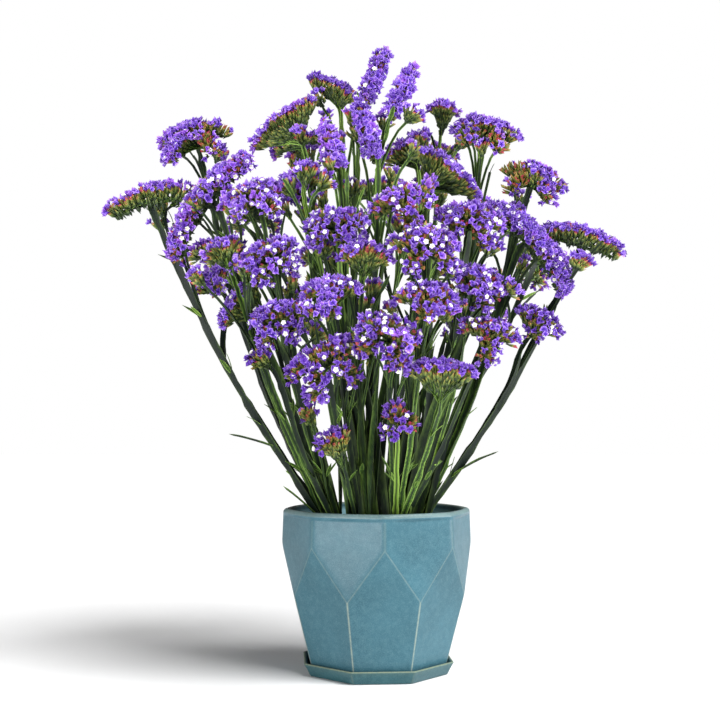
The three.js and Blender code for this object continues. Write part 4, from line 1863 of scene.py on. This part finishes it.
            # lower bracts get lower tints: painted shade towards the joint
            self._leaf(self.scales, root, tip, width, sizes.top_tint - down + self._jitter(sizes.tint_jitter))
        return foot

    def _tuft(self, centre: Vector, up: Vector, along: Vector, root: Vector, mood: Mood) -> None:
        """Sets a small tuft of florets, and the bracts that hold them.

        Args:
            centre: the tuft's middle, where the funnels start.
            up: the way it faces.
            along: the comb's direction there.
            root: where its bracts leave the branch.
            mood: how its florets stand.
        """
        sizes, draw, funnels = self.sizes.tuft, self.draw, mood.funnels
        side = along.cross(up).normalized()
        along = up.cross(side)
        count = draw.choice(sizes.florets)
        spin = self._angle()
        bright = mood.tint + self._jitter(sizes.tint_jitter)
        late = mood.spent.dot(centre - mood.middle) > sizes.spent_from
        for i in range(count + 1):
            angle = spin + math.tau * i / count
            away = (along * math.cos(angle) + side * math.sin(angle)) * (i < count)
            seat = centre + away * sizes.radius * mood.slim * draw.uniform(*sizes.stray)
            seat += up * draw.uniform(*sizes.rise)
            lean = along * self._jitter(1) + side * self._jitter(1)
            facing = (up + away * sizes.splay * mood.slim + lean * sizes.sway).normalized()
            length = draw.uniform(*sizes.funnel_length)
            closed = draw.random() < (sizes.spent_closed if late else mood.closed)
            if not closed:
                tint = bright + self._jitter(sizes.floret_tint_jitter)
                funnels.point(seat, facing, draw.uniform(*sizes.funnel_radius), length, tint, self._angle())
                half_open = draw.random() < sizes.half_open
                funnels.closings[-1] = float(half_open)
                if not half_open and draw.random() < mood.flowering:
                    funnels.flowers[-1] = draw.uniform(*sizes.corolla_radius)
            sheath = sizes.sheath_closed if closed else draw.uniform(*sizes.sheath_open)
            tip = seat + facing * length * sheath
            width, tint = draw.uniform(*sizes.bract_radius), draw.uniform(*sizes.sheath_tint)
            self._leaf(self.sheaths, root + away * sizes.sheath_root, tip, width, tint)
        for _ in range(mood.scales + sizes.spent_scales * late):
            angle = self._angle()
            away = along * math.cos(angle) + side * math.sin(angle)
            tip = centre + away * sizes.radius * mood.slim * draw.uniform(*sizes.scale_reach)
            tip += up * draw.uniform(*sizes.scale_rise)
            width, tint = draw.uniform(*sizes.bract_radius), draw.uniform(*sizes.scale_tint)
            self._leaf(self.scales, root + away * sizes.scale_root, tip, width, tint)

    def _leaf(self, scatter: Scatter, root: Vector, tip: Vector, width: float, tint: float) -> None:
        """Sets one bract from its root to its tip."""
        span = tip - root
        scatter.point(root, span.normalized(), width, span.length, tint, self._angle())

    def _branches(self, comb: Comb, joint: Vector, feet: Sequence[tuple[float, Vector]]) -> None:
        """Adds the branches that bear a comb's tufts.

        Args:
            comb: the comb.
            joint: where they leave the stem.
            feet: each tuft's place along the comb, and where its bracts end.
        """
        if comb.spined:
            self._spine(comb, joint)
            return
        sizes, draw, lines = self.sizes.branch, self.draw, self.lines
        for first in range(0, len(feet), sizes.fork_of):
            group = feet[first : first + sizes.fork_of]
            middle = sum((foot for _, foot in group), Vector()) / len(group)
            fork = joint.lerp(middle, draw.uniform(*sizes.fork_at))
            tint = draw.random()
            lines.twig([joint, fork], sizes.wing, tint)
            for s, foot in group:
                top = comb.at(s).place.lerp(foot, sizes.top_at)
                lines.add([fork, foot, top], sizes.wings, sizes.twists, [tint] * 3)

    def _spine(self, comb: Comb, joint: Vector) -> None:
        """Adds the spine that bears a long comb's tufts, and struts to it from the joint.

        Args:
            comb: the comb.
            joint: where the struts leave the stem.
        """
        sizes, draw, lines = self.sizes.branch, self.draw, self.lines
        step = (comb.last - comb.first) * sizes.spine_share / sizes.spine_steps
        stations = [comb.at(comb.first + step * i) for i in range(sizes.spine_steps + 1)]
        spine = [station.offset(0, -sizes.spine_depth) for station in stations]
        lines.twig(spine, sizes.spine_wing, draw.random() * sizes.spine_tint)
        for share in sizes.struts if comb.both else ():
            station = comb.at(share * comb.length * draw.uniform(*sizes.strut_stray))
            landing = station.offset(0, -sizes.spine_depth)
            lines.twig([joint, joint.lerp(landing, 0.5) - UP, landing], sizes.strut_wing, draw.random())

    def _stem(self, head: Head, path: StemPath) -> None:
        """Adds a head's winged stem.

        Args:
            head: the head.
            path: its stem's line.
        """
        sizes, draw = self.sizes.stem, self.draw
        stout = STOUT.get(self.name, 1.0)
        low, high = (wing * stout for wing in (sizes.fork_wings if head.parent else sizes.wings))
        reach = path.length + (path.at(path.SEAT) - path.at(path.NECK)).length
        steps = max(sizes.least_steps, round(reach / sizes.step))
        nodes = max(1, round(reach / sizes.node_gap))
        phase, spin = draw.random(), self._angle()
        places, widths, twists = [], [], []
        for i in range(steps + 1):
            t = i / steps
            swell = sizes.above_node + sizes.swell * ((t * nodes + phase) % 1.0)
            widths.append((low + (high - low) * t) * (swell + self._jitter(sizes.wing_jitter)))
            sway = Vector((self._jitter(1), self._jitter(1), 0)) * sizes.sway * math.sin(math.pi * t)
            places.append(path.at(path.SEAT * t) + sway)
            twists.append(spin + sizes.twist * t)
        if not head.parent:
            places.insert(0, places[0] - UP * sizes.buried)
            widths.insert(0, widths[0])
            twists.insert(0, spin)
        # painted light and shade along the stem, by its place and its drawn share
        share = sizes.dullest + sizes.brighter_by * draw.random() ** sizes.rarely_bright
        tints = [self.sizes.painted_stem_light.at(place, share) for place in places]
        # painted light: these stems turn lit green as they rise
        if head.name in PAINTED_LIT_STEMS:
            risen = [min((place.z - sizes.bright_from) / sizes.bright_over, 1.0) for place in places]
            tints = [max(pair) for pair in zip(risen, tints)]
        self.lines.add(places, widths, twists, tints)

    def _twigs(self, path: StemPath, sprigs: Scatter) -> None:
        """Adds thin side branches to a stem, most with a sprig of florets at their ends.

        Args:
            path: the stem's line.
            sprigs: where the sprigs' florets are kept.
        """
        sizes, leaf, draw = self.sizes.twig, self.sizes.leaf, self.draw
        for order in range(sizes.sprigs + sizes.bare):
            low = draw.uniform(*sizes.start)
            span = draw.uniform(*sizes.span)
            away = Quaternion(UP, self._angle()) @ Vector((draw.uniform(*sizes.spread), 0, 0))
            places = []
            for step in range(sizes.steps + 1):
                t = step / sizes.steps
                places.append(path.at(min(low + span * t, sizes.highest)) + away * t**sizes.curl)
            end = places[-1]
            if end.z < sizes.lowest_end + abs(end.x) * sizes.higher_aside:
                continue
            # painted light and shade of the twig, by its place
            tint = self.sizes.painted_stem_light.at(places[2], draw.uniform(*sizes.tint))
            self.lines.twig(places, sizes.wing, tint)
            out = (end - places[-2]).normalized()
            if order < sizes.sprigs:
                self._sprig(end, out, sprigs)
            else:
                length = draw.uniform(*leaf.small_length)
                self._blade(end - out * sizes.leaf_overlap, out, length, leaf.small_width, tint)

    def _sprig(self, end: Vector, out: Vector, sprigs: Scatter) -> None:
        """Sets a short comb of florets at the end of a side branch.

        Args:
            end: the branch's end.
            out: the way it points.
            sprigs: where the florets are kept.
        """
        sizes, flowering, draw = self.sizes.twig, self.sizes.flowering, self.draw
        across = Quaternion(out, draw.uniform(0, math.pi)) @ out.orthogonal().normalized()
        length = draw.uniform(*sizes.sprig_length)
        bend = math.radians(sizes.sprig_arch) / length
        comb = Comb(end + out * sizes.sprig_rise, across, out, length, True, 0.0, bend, sizes.sprig_depth)
        closed = draw.choice(flowering.closed) * sizes.sprig_closed
        tint = draw.uniform(*sizes.sprig_tint)
        self._comb(comb, end, Mood(sprigs, (0,), sizes.sprig_body, closed, flowering.corollas, tint))

    def _leaflets(self, path: StemPath) -> None:
        """Sets the small pointed leaves at a stem's nodes.

        Args:
            path: the stem's line.
        """
        sizes, draw = self.sizes.leaf, self.draw
        gap = self.sizes.stem.node_gap
        for i in range(1, round(path.length / gap)):
            u = path.NECK * i * gap / path.length
            along = path.heading(u)
            for _ in range(draw.choice(sizes.at_node)):
                out = Quaternion(along, self._angle()) @ along.orthogonal().normalized()
                heading = (along + out * draw.uniform(*sizes.small_splay)).normalized()
                length, tint = draw.uniform(*sizes.small_length), draw.uniform(*sizes.small_tint)
                self._blade(path.at(u) + out * sizes.small_root, heading, length, sizes.small_width, tint)

    def _long_leaves(self) -> None:
        """Sets the long leaves low on the stems."""
        sizes = self.sizes.leaf
        for bearer, share, around, rise, length in LEAVES:
            if bearer in self.paths:
                around, rise = math.radians(around), math.radians(rise)
                level = Vector((math.sin(around), -math.cos(around), 0))
                heading = level * math.cos(rise) + UP * math.sin(rise)
                path = self.paths[bearer]
                tint = self.draw.uniform(*sizes.long_tint)
                self._blade(path.at(path.NECK * share), heading, length, sizes.long_width / length, tint)

    def _foot_leaves(self) -> None:
        """Sets the leaves that rise from the soil about the spray's foot, painted dark by low tints, a painted
        shade.
        """
        sizes, draw = self.sizes.leaf, self.draw
        outer = Vector((self.foot.x, self.foot.y, 0)) / sizes.foot_leaning
        for _ in range(round(sizes.foot_count * line_of(self.foot.x, sizes.foot_fade))):
            around = self._angle()
            out = Vector((math.cos(around), math.sin(around), 0))
            splay, lean = draw.uniform(*sizes.foot_splay), draw.uniform(*sizes.foot_lean)
            heading = (UP + out * splay + outer * lean).normalized()
            start = self.foot + out * draw.uniform(*sizes.foot_root) - UP * sizes.foot_buried
            length, tint = draw.uniform(*sizes.foot_length), draw.uniform(*sizes.foot_tint)
            self._blade(start, heading, length, sizes.foot_width, tint)

    def _blade(self, start: Vector, heading: Vector, length: float, slimness: float, tint: float) -> None:
        """Sets one leaf so that it bends over downwards.

        Args:
            start: its foot.
            heading: the way it grows.
            length: its length.
            slimness: its width as a share of its length.
            tint: a number from 0 to 1 for its colour.
        """
        level = UP.cross(heading).normalized()
        side = Quaternion(heading, self._jitter(self.sizes.leaf.roll)) @ level
        turn = Matrix((side, heading.cross(side), heading)).transposed()
        self.blades.add(start, Vector(turn.to_euler()), (length * slimness, length, length), tint)


def soft_least(first: np.ndarray, second: np.ndarray, softness: float) -> np.ndarray:
    """The lesser of two lengths, rounded off over a width where they meet."""
    overlap = np.maximum(softness - np.abs(first - second), 0) / softness
    return np.minimum(first, second) - overlap**2 * softness / 4


class EightSided:
    """The columns of points that eight-sided pottery is made of, closest where its edges run.

    The angles are in degrees: the first facet's middle, half of a facet, and the columns on half of a facet.
    """

    turn = 4.5
    half = 22.5
    offsets = (0, 0.4, 0.9, 1.6, 3.0, 6.0, 9.5, 13.0, 16.5, 19.5, 20.9, 21.6, 22.1)

    def __init__(self) -> None:
        """Works out each column's angle, and how far it is from the middle of its lower facet."""
        mirrored = [self.half - x for x in (*self.offsets[1:], self.half)][::-1]
        folded, angles = [], []
        for sector in range(round(360 / self.half)):
            rising = sector % 2 == 0
            for step in self.offsets if rising else mirrored:
                angles.append(self.turn + sector * self.half + step)
                folded.append(step if rising else self.half - step)
        self.angles = np.radians(angles)
        self.fold = np.radians(folded)

    def lower(self, flat: np.ndarray, softness: float) -> np.ndarray:
        """The radius of an outline whose corners are the pot's lower edges, from its sides' distance."""
        side = math.radians(2 * self.half)
        return soft_least(flat / np.cos(self.fold), flat / np.cos(side - self.fold), softness)

    def upper(self, flat: np.ndarray, softness: float) -> np.ndarray:
        """The radius of the outline that is turned by half a side, from its sides' distance."""
        half = math.radians(self.half)
        return soft_least(flat / np.cos(half - self.fold), flat / np.cos(half + self.fold), softness)

    def skin(self, name: str, rows: Sequence[tuple], looped: bool, finish: Material) -> Mesh:
        """Makes a mesh over rows of points.

        Args:
            name: the mesh's name.
            rows: radius, height and how pale the glaze is of every column, row by row: thin glaze, and on the
                pot's lip partly a painted highlight.
            looped: whether the last row joins the first, or both ends close at the axis.
            finish: the material.

        Returns:
            The mesh, smooth, facing outwards.
        """
        size = len(self.angles)
        points, wear = [], []
        for radius, height, glaze_paleness in rows:
            radius, height, glaze_paleness = (np.broadcast_to(x, size) for x in (radius, height, glaze_paleness))
            points += list(zip(radius * np.sin(self.angles), -radius * np.cos(self.angles), height))
            wear += list(glaze_paleness)
        faces = []
        for row in range(len(rows) if looped else len(rows) - 1):
            low, high = row * size, (row + 1) % len(rows) * size
            for i in range(size):
                j = (i + 1) % size
                faces.append((low + i, low + j, high + j, high + i))
        if not looped:
            foot, top = len(points), len(points) + 1
            points += [(0, 0, float(rows[0][1])), (0, 0, float(rows[-1][1]))]
            wear += [0.0, 0.0]
            last = (len(rows) - 1) * size
            for i in range(size):
                j = (i + 1) % size
                faces += [(j, i, foot), (last + i, last + j, top)]
        mesh = millimetre_mesh(name, points, faces)
        keep(mesh, "wear", wear)
        mesh.polygons.foreach_set("use_smooth", [True] * len(mesh.polygons))
        mesh.materials.append(finish)
        return mesh


@dataclass
class Pot:
    """The faceted pot: eight tall facets below, eight five-sided ones above, and a lip.

    The foot's bevel goes in and up. Rounded is how far the lip's outline leaves the facets for a circle. A
    line of thin glaze along an edge has a strength and a width; the lip's pale lines also have a radius, and
    are partly glaze run thin and partly a painted highlight. The wear_radius turns angles into lengths.
    """

    foot: float = 4.3
    foot_bevel: Pair = (1.3, 1.2)
    foot_flat: float = 55.0
    lower_slope: float = 0.2505
    waist: float = 68.8
    waist_radius: float = 75.7
    upper_slope: float = -0.036
    shaved_to: float = 128.8
    band_from: float = 131.3
    band: float = 79.2
    rounded: float = 0.35
    softness: float = 1.5
    upper_softness: float = 2.6
    lower_rows: int = 14
    upper_rows: int = 8
    band_rows: int = 10
    band_beyond: Pair = (0.5, 0.2)
    crease_gap: float = 2.6
    crease_steps: Numbers = (-1.7, -1.0, -0.45, 0.0, 0.45, 1.0, 1.7)
    lip: tuple[Pair, ...] = (
        (79.2, 131.7), (78.9, 132.7), (78.3, 133.7), (77.2, 134.5), (75.8, 134.95),
        (74.4, 134.9), (73.2, 134.3), (72.3, 133.2), (71.6, 131.6),
    )
    inside: tuple[Pair, ...] = ((70.6, 128), (70.2, 121), (69.0, 104.3), (64.0, 68.8), (49.0, 13.0))
    drain: float = 7.0
    floor: float = 12.4
    edge_wear: Pair = (0.5, 0.6)
    fold_wear: Pair = (0.1, 1.0)
    crease_wear: Pair = (0.16, 0.8)
    # pale lines on the lip: partly glaze run thin, partly a painted highlight
    lip_wears_and_highlights: tuple[tuple[float, float, float], ...] = ((0.25, 2.6, 77.5), (0.55, 1.0, 73.8))
    wear_radius: float = 76.0

    def build(self, columns: EightSided, finish: Material) -> None:
        """Makes the pot.

        Args:
            columns: the columns of points.
            finish: the glaze.
        """
        bevel, rise = self.foot_bevel
        lowest, highest = self.foot + rise, self.shaved_to - self.softness
        crease, gap = self._crease(columns), self.crease_gap
        heights = [lowest + (crease - gap - lowest) * t for t in np.linspace(0, 1, self.lower_rows)]
        heights += [crease + step for step in self.crease_steps]
        heights += [crease + gap + (highest - crease - gap) * t for t in np.linspace(0, 1, self.upper_rows)]
        below, above = self.band_beyond
        band = np.linspace(self.shaved_to - below, self.band_from + above, self.band_rows)
        heights += [np.full_like(crease, z) for z in band]
        foot_radius = columns.lower(self.foot_flat - bevel, self.softness)
        rows = [(self.drain, self.foot, 0.0), (foot_radius, self.foot, 0.0)]
        rows += [(self._outer(columns, z), z, self._wear(columns, z, crease)) for z in heights]
        inset = self.band - self._outer(columns, np.full_like(crease, self.band_from))
        inner = self.lip[-1][0]
        for radius, z in (*self.lip, *self.inside):
            share = max(0.0, radius - inner) / (self.band - inner)
            rows.append((radius - inset * share, z, self._lip_wear(radius)))
        rows.append((self.drain, self.floor, 0.0))
        mesh = columns.skin("glazed_pot", rows, True, finish)
        # the inside's rows get the inner attribute: painted light on the shaded inner wall
        painted_light_rows = np.arange(len(rows)) >= len(rows) - 1 - len(self.inside)
        keep(mesh, "inner", np.repeat(painted_light_rows, len(columns.angles)))
        declare("glazed_pot", mesh, ("pot",))

    def _lip_wear(self, radius: float) -> float:
        """How pale the lip is painted, most at its inner edge: partly glaze run thin, partly a painted
        highlight.
        """
        return float(sum(strength * line_of(radius - at, width) for strength, width, at in self.lip_wears_and_highlights))

    def _flats(self, z: np.ndarray | float) -> tuple[np.ndarray | float, np.ndarray | float]:
        """How far the lower and the upper facets are from the axis at a height."""
        lower = self.foot_flat + self.lower_slope * (z - self.foot - self.foot_bevel[1])
        return lower, self.waist_radius + self.upper_slope * (z - self.waist)

    def _crease(self, columns: EightSided) -> np.ndarray:
        """The height at which the lower and the upper facets meet, in each column."""
        low, high = np.cos(columns.fold), np.cos(math.radians(columns.half) - columns.fold)
        lower, upper = self._flats(0.0)
        return (upper * low - lower * high) / (self.lower_slope * high - self.upper_slope * low)

    def _outer(self, columns: EightSided, z: np.ndarray) -> np.ndarray:
        """The outer radius of every column at its height.

        Args:
            columns: the columns of points.
            z: each column's height.

        Returns:
            The radii.
        """
        lower, upper = self._flats(z)
        lower = columns.lower(lower, self.softness)
        facets = soft_least(lower, columns.upper(upper, self.upper_softness), self.softness)
        run_out = np.clip((z - self.shaved_to) / (self.band_from - self.shaved_to), 0, 1)
        return facets + (self.band - facets) * self.rounded * run_out**2 * (3 - 2 * run_out)

    def _wear(self, columns: EightSided, z: np.ndarray, crease: np.ndarray) -> np.ndarray:
        """How thin the glaze has run, from 0 to 1: most along the lower edges.

        Args:
            columns: the columns of points.
            z: each column's height.
            crease: the height where its facets meet.

        Returns:
            The wear of every column.
        """
        near = 0.1
        edge = (math.radians(columns.half) - columns.fold) * self.wear_radius
        strength, width = self.edge_wear
        lower = strength * line_of(edge, width) * (z <= crease + near)
        strength, width = self.fold_wear
        upper = strength * line_of(columns.fold * self.wear_radius, width)
        upper = upper * (z >= crease - near) * (z < self.shaved_to)
        strength, width = self.crease_wear
        return np.maximum(np.maximum(lower, upper), strength * line_of(z - crease, width))


@dataclass
class Saucer:
    """The eight-sided saucer, with a low slanting wall.

    The outline holds the radius, the height and how pale the glaze is in every row. The corners have a line of
    thin glaze above a height and outside a radius, with a strength and a width.
    """

    outline: tuple[Point, ...] = (
        (59.8, 0.0, 0.0), (60.9, 0.15, 0.0), (61.3, 0.7, 0.0), (63.8, 5.4, 0.0), (66.0, 9.2, 0.05),
        (66.4, 9.9, 0.25), (66.1, 10.4, 0.5), (65.5, 10.6, 0.45), (64.7, 10.6, 0.2), (64.1, 10.3, 0.1),
        (63.6, 9.7, 0.0), (61.4, 5.2, 0.0), (60.6, 4.2, 0.0), (59.6, 4.0, 0.0),
    )
    softness: float = 1.0
    corner_wear: Pair = (0.12, 0.8)
    corner_radius: float = 65.0
    worn_above: float = 0.2
    worn_outside: float = 61.0

    def build(self, columns: EightSided, finish: Material) -> None:
        """Makes the saucer.

        Args:
            columns: the columns of points.
            finish: the glaze.
        """
        half = math.radians(columns.half)
        strength, width = self.corner_wear
        corner = strength * line_of((half - columns.fold) * self.corner_radius, width)
        rows = []
        for radius, height, glaze_paleness in self.outline:
            bare = height > self.worn_above and radius > self.worn_outside
            flat = columns.lower(radius * math.cos(half), self.softness)
            rows.append((flat, height, np.maximum(glaze_paleness, corner * bare)))
        declare("glazed_saucer", columns.skin("glazed_saucer", rows, False, finish), ("saucer",))


@dataclass
class Soil:
    """Potting soil, a little mounded and lumpy, with crumbs on it."""

    level: float = 115.0
    mound: float = 1.6
    lumps: float = 0.9
    edge_drop: float = 0.8
    radius: float = 69.0
    bottom: float = 100.0
    bottom_radius: float = 67.8
    rings: int = 22
    sides: int = 72
    seed: int = 11

    def build(self, finish: Material) -> None:
        """Makes the soil and its crumbs.

        Args:
            finish: the soil's material.
        """
        draw = random.Random(self.seed)
        angles = [2 * math.pi * j / self.sides for j in range(self.sides)]
        points = [(0.0, 0.0, self.level + self.mound)]
        for i in range(1, self.rings + 1):
            share = i / self.rings
            radius = self.radius * share
            for angle in angles:
                lump = draw.uniform(-self.lumps, self.lumps) if i < self.rings else -self.edge_drop
                height = self.level + self.mound * (1 - share**2) + lump
                points.append((radius * math.cos(angle), radius * math.sin(angle), height))
        top, radius = len(points), self.bottom_radius
        points += [(radius * math.cos(angle), radius * math.sin(angle), self.bottom) for angle in angles]
        points.append((0.0, 0.0, self.bottom))
        faces: list[tuple[int, ...]] = []
        for j in range(self.sides):
            after = (j + 1) % self.sides
            faces.append((0, 1 + j, 1 + after))
            for i in range(self.rings):
                inner, outer = 1 + i * self.sides, 1 + (i + 1) * self.sides
                faces.append((inner + j, outer + j, outer + after, inner + after))
            faces.append((top + after, top + j, top + self.sides))
        mesh = millimetre_mesh("potting_soil", points, faces)
        mesh.materials.append(finish)
        declare("potting_soil", mesh, ("soil",))
        upper = millimetre_mesh("soil_top", points[:top], [face for face in faces if max(face) < top])
        crumbs = crumb_tree().run("soil_crumbs", upper, Finish=finish, Seed=self.seed)
        declare("soil_crumbs", crumbs)


@dataclass(frozen=True)
class Sun:
    """A far light: its strength in watts per square metre, how wide it looks, and where it stands.

    The angles are in degrees; right is to the right of the front.
    """

    strength: float = 4.65
    width: float = 36.0
    height: float = 55.0
    right: float = 50.0

    def light(self) -> None:
        """Makes the light."""
        data = bpy.data.lights.new("overhead", "SUN")
        data.energy = self.strength
        data.angle = math.radians(self.width)
        sun = placed("overhead", data)
        sun.rotation_euler = (math.radians(90 - self.height), 0, math.radians(self.right))


@dataclass(frozen=True)
class Panel:
    """A square light that faces the pot.

    It has its power in watts, its side and place in metres, and how much of it lights matt surfaces.
    """

    name: str
    power: float
    side: float
    place: Point
    diffuse: float
    aim: Point = (0.0, 0.0, 0.12)

    def light(self) -> None:
        """Makes the light."""
        data = bpy.data.lights.new(self.name, "AREA")
        data.size = self.side
        data.energy = self.power
        data.diffuse_factor = self.diffuse
        panel = placed(self.name, data)
        panel.location = self.place
        panel.rotation_euler = (Vector(self.aim) - panel.location).to_track_quat("-Z", "Y").to_euler()


@dataclass
class Studio:
    """A pale floor, soft light from above and from the right, a panel that the glaze mirrors, and the camera.

    Its lengths are metres and its angles degrees; the camera has the photograph's angle.
    """

    distance: float = 0.982
    eye_height: float = 0.2081
    lens: float = 57.78
    look_up: float = 3.01
    look_left: float = 0.83
    floor_side: float = 12.0
    floor_drop: float = 0.0003
    ambient: float = 0.09
    lights: tuple[Sun | Panel, ...] = (
        Sun(),
        Panel("side", 13.5, 0.5, (1.25, -0.28, 0.35), 1.0),
        Panel("sheen", 21.0, 0.7, (-0.9, -1.35, 0.3), 0.04),
    )

    def build(self) -> None:
        """Makes the camera, the floor, the lights and the surroundings."""
        scene = bpy.context.scene
        scene.view_settings.view_transform = "Standard"
        data = bpy.data.cameras.new("camera")
        data.lens = self.lens
        camera = placed("camera", data)
        camera.location = (0, -self.distance, self.eye_height)
        camera.rotation_euler = (math.radians(90 + self.look_up), 0, math.radians(self.look_left))
        scene.camera = camera
        self._floor()
        for light in self.lights:
            light.light()
        self._surroundings()

    def _floor(self) -> None:
        """Makes the floor."""
        half = self.floor_side / 2
        mesh = bpy.data.meshes.new("floor")
        outline = [(-half, -half), (half, -half), (half, half), (-half, half)]
        mesh.from_pydata([(x, y, -self.floor_drop) for x, y in outline], [], [(0, 1, 2, 3)])
        mesh.materials.append(FloorFinish().material())
        floor = placed("floor", mesh)

    def _surroundings(self) -> None:
        """Makes the surroundings: white to the eye, and dimmer as light."""
        world = bpy.data.worlds.new("surroundings")
        world.use_nodes = True
        nodes = Nodes(world.node_tree)
        seen = Value(nodes, nodes.add("ShaderNodeLightPath").outputs["Is Camera Ray"])
        strength = seen * (1 - self.ambient) + self.ambient
        shader = nodes.add("ShaderNodeBackground", None, {"Color": (1, 1, 1, 1), "Strength": strength})
        nodes.add("ShaderNodeOutputWorld", None, {"Surface": shader.outputs[0]})
        bpy.context.scene.world = world


def main() -> None:
    """Builds the whole model."""
    logging.basicConfig(level=logging.INFO, format="%(message)s")
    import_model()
    Studio().build()
    glaze = GlazeFinish().material()
    columns = EightSided()
    Saucer().build(columns, SHADED_SAUCER_GLAZE.material())
    Pot().build(columns, glaze)
    Soil().build(EarthFinish().material())
    kit = PlantKit()
    for seed, name in enumerate(SPRAYS, start=1):
        Spray(name, 20 * seed, kit).build()
    kit.discard_shapes()
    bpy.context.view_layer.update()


if __name__ == "__main__":
    main()
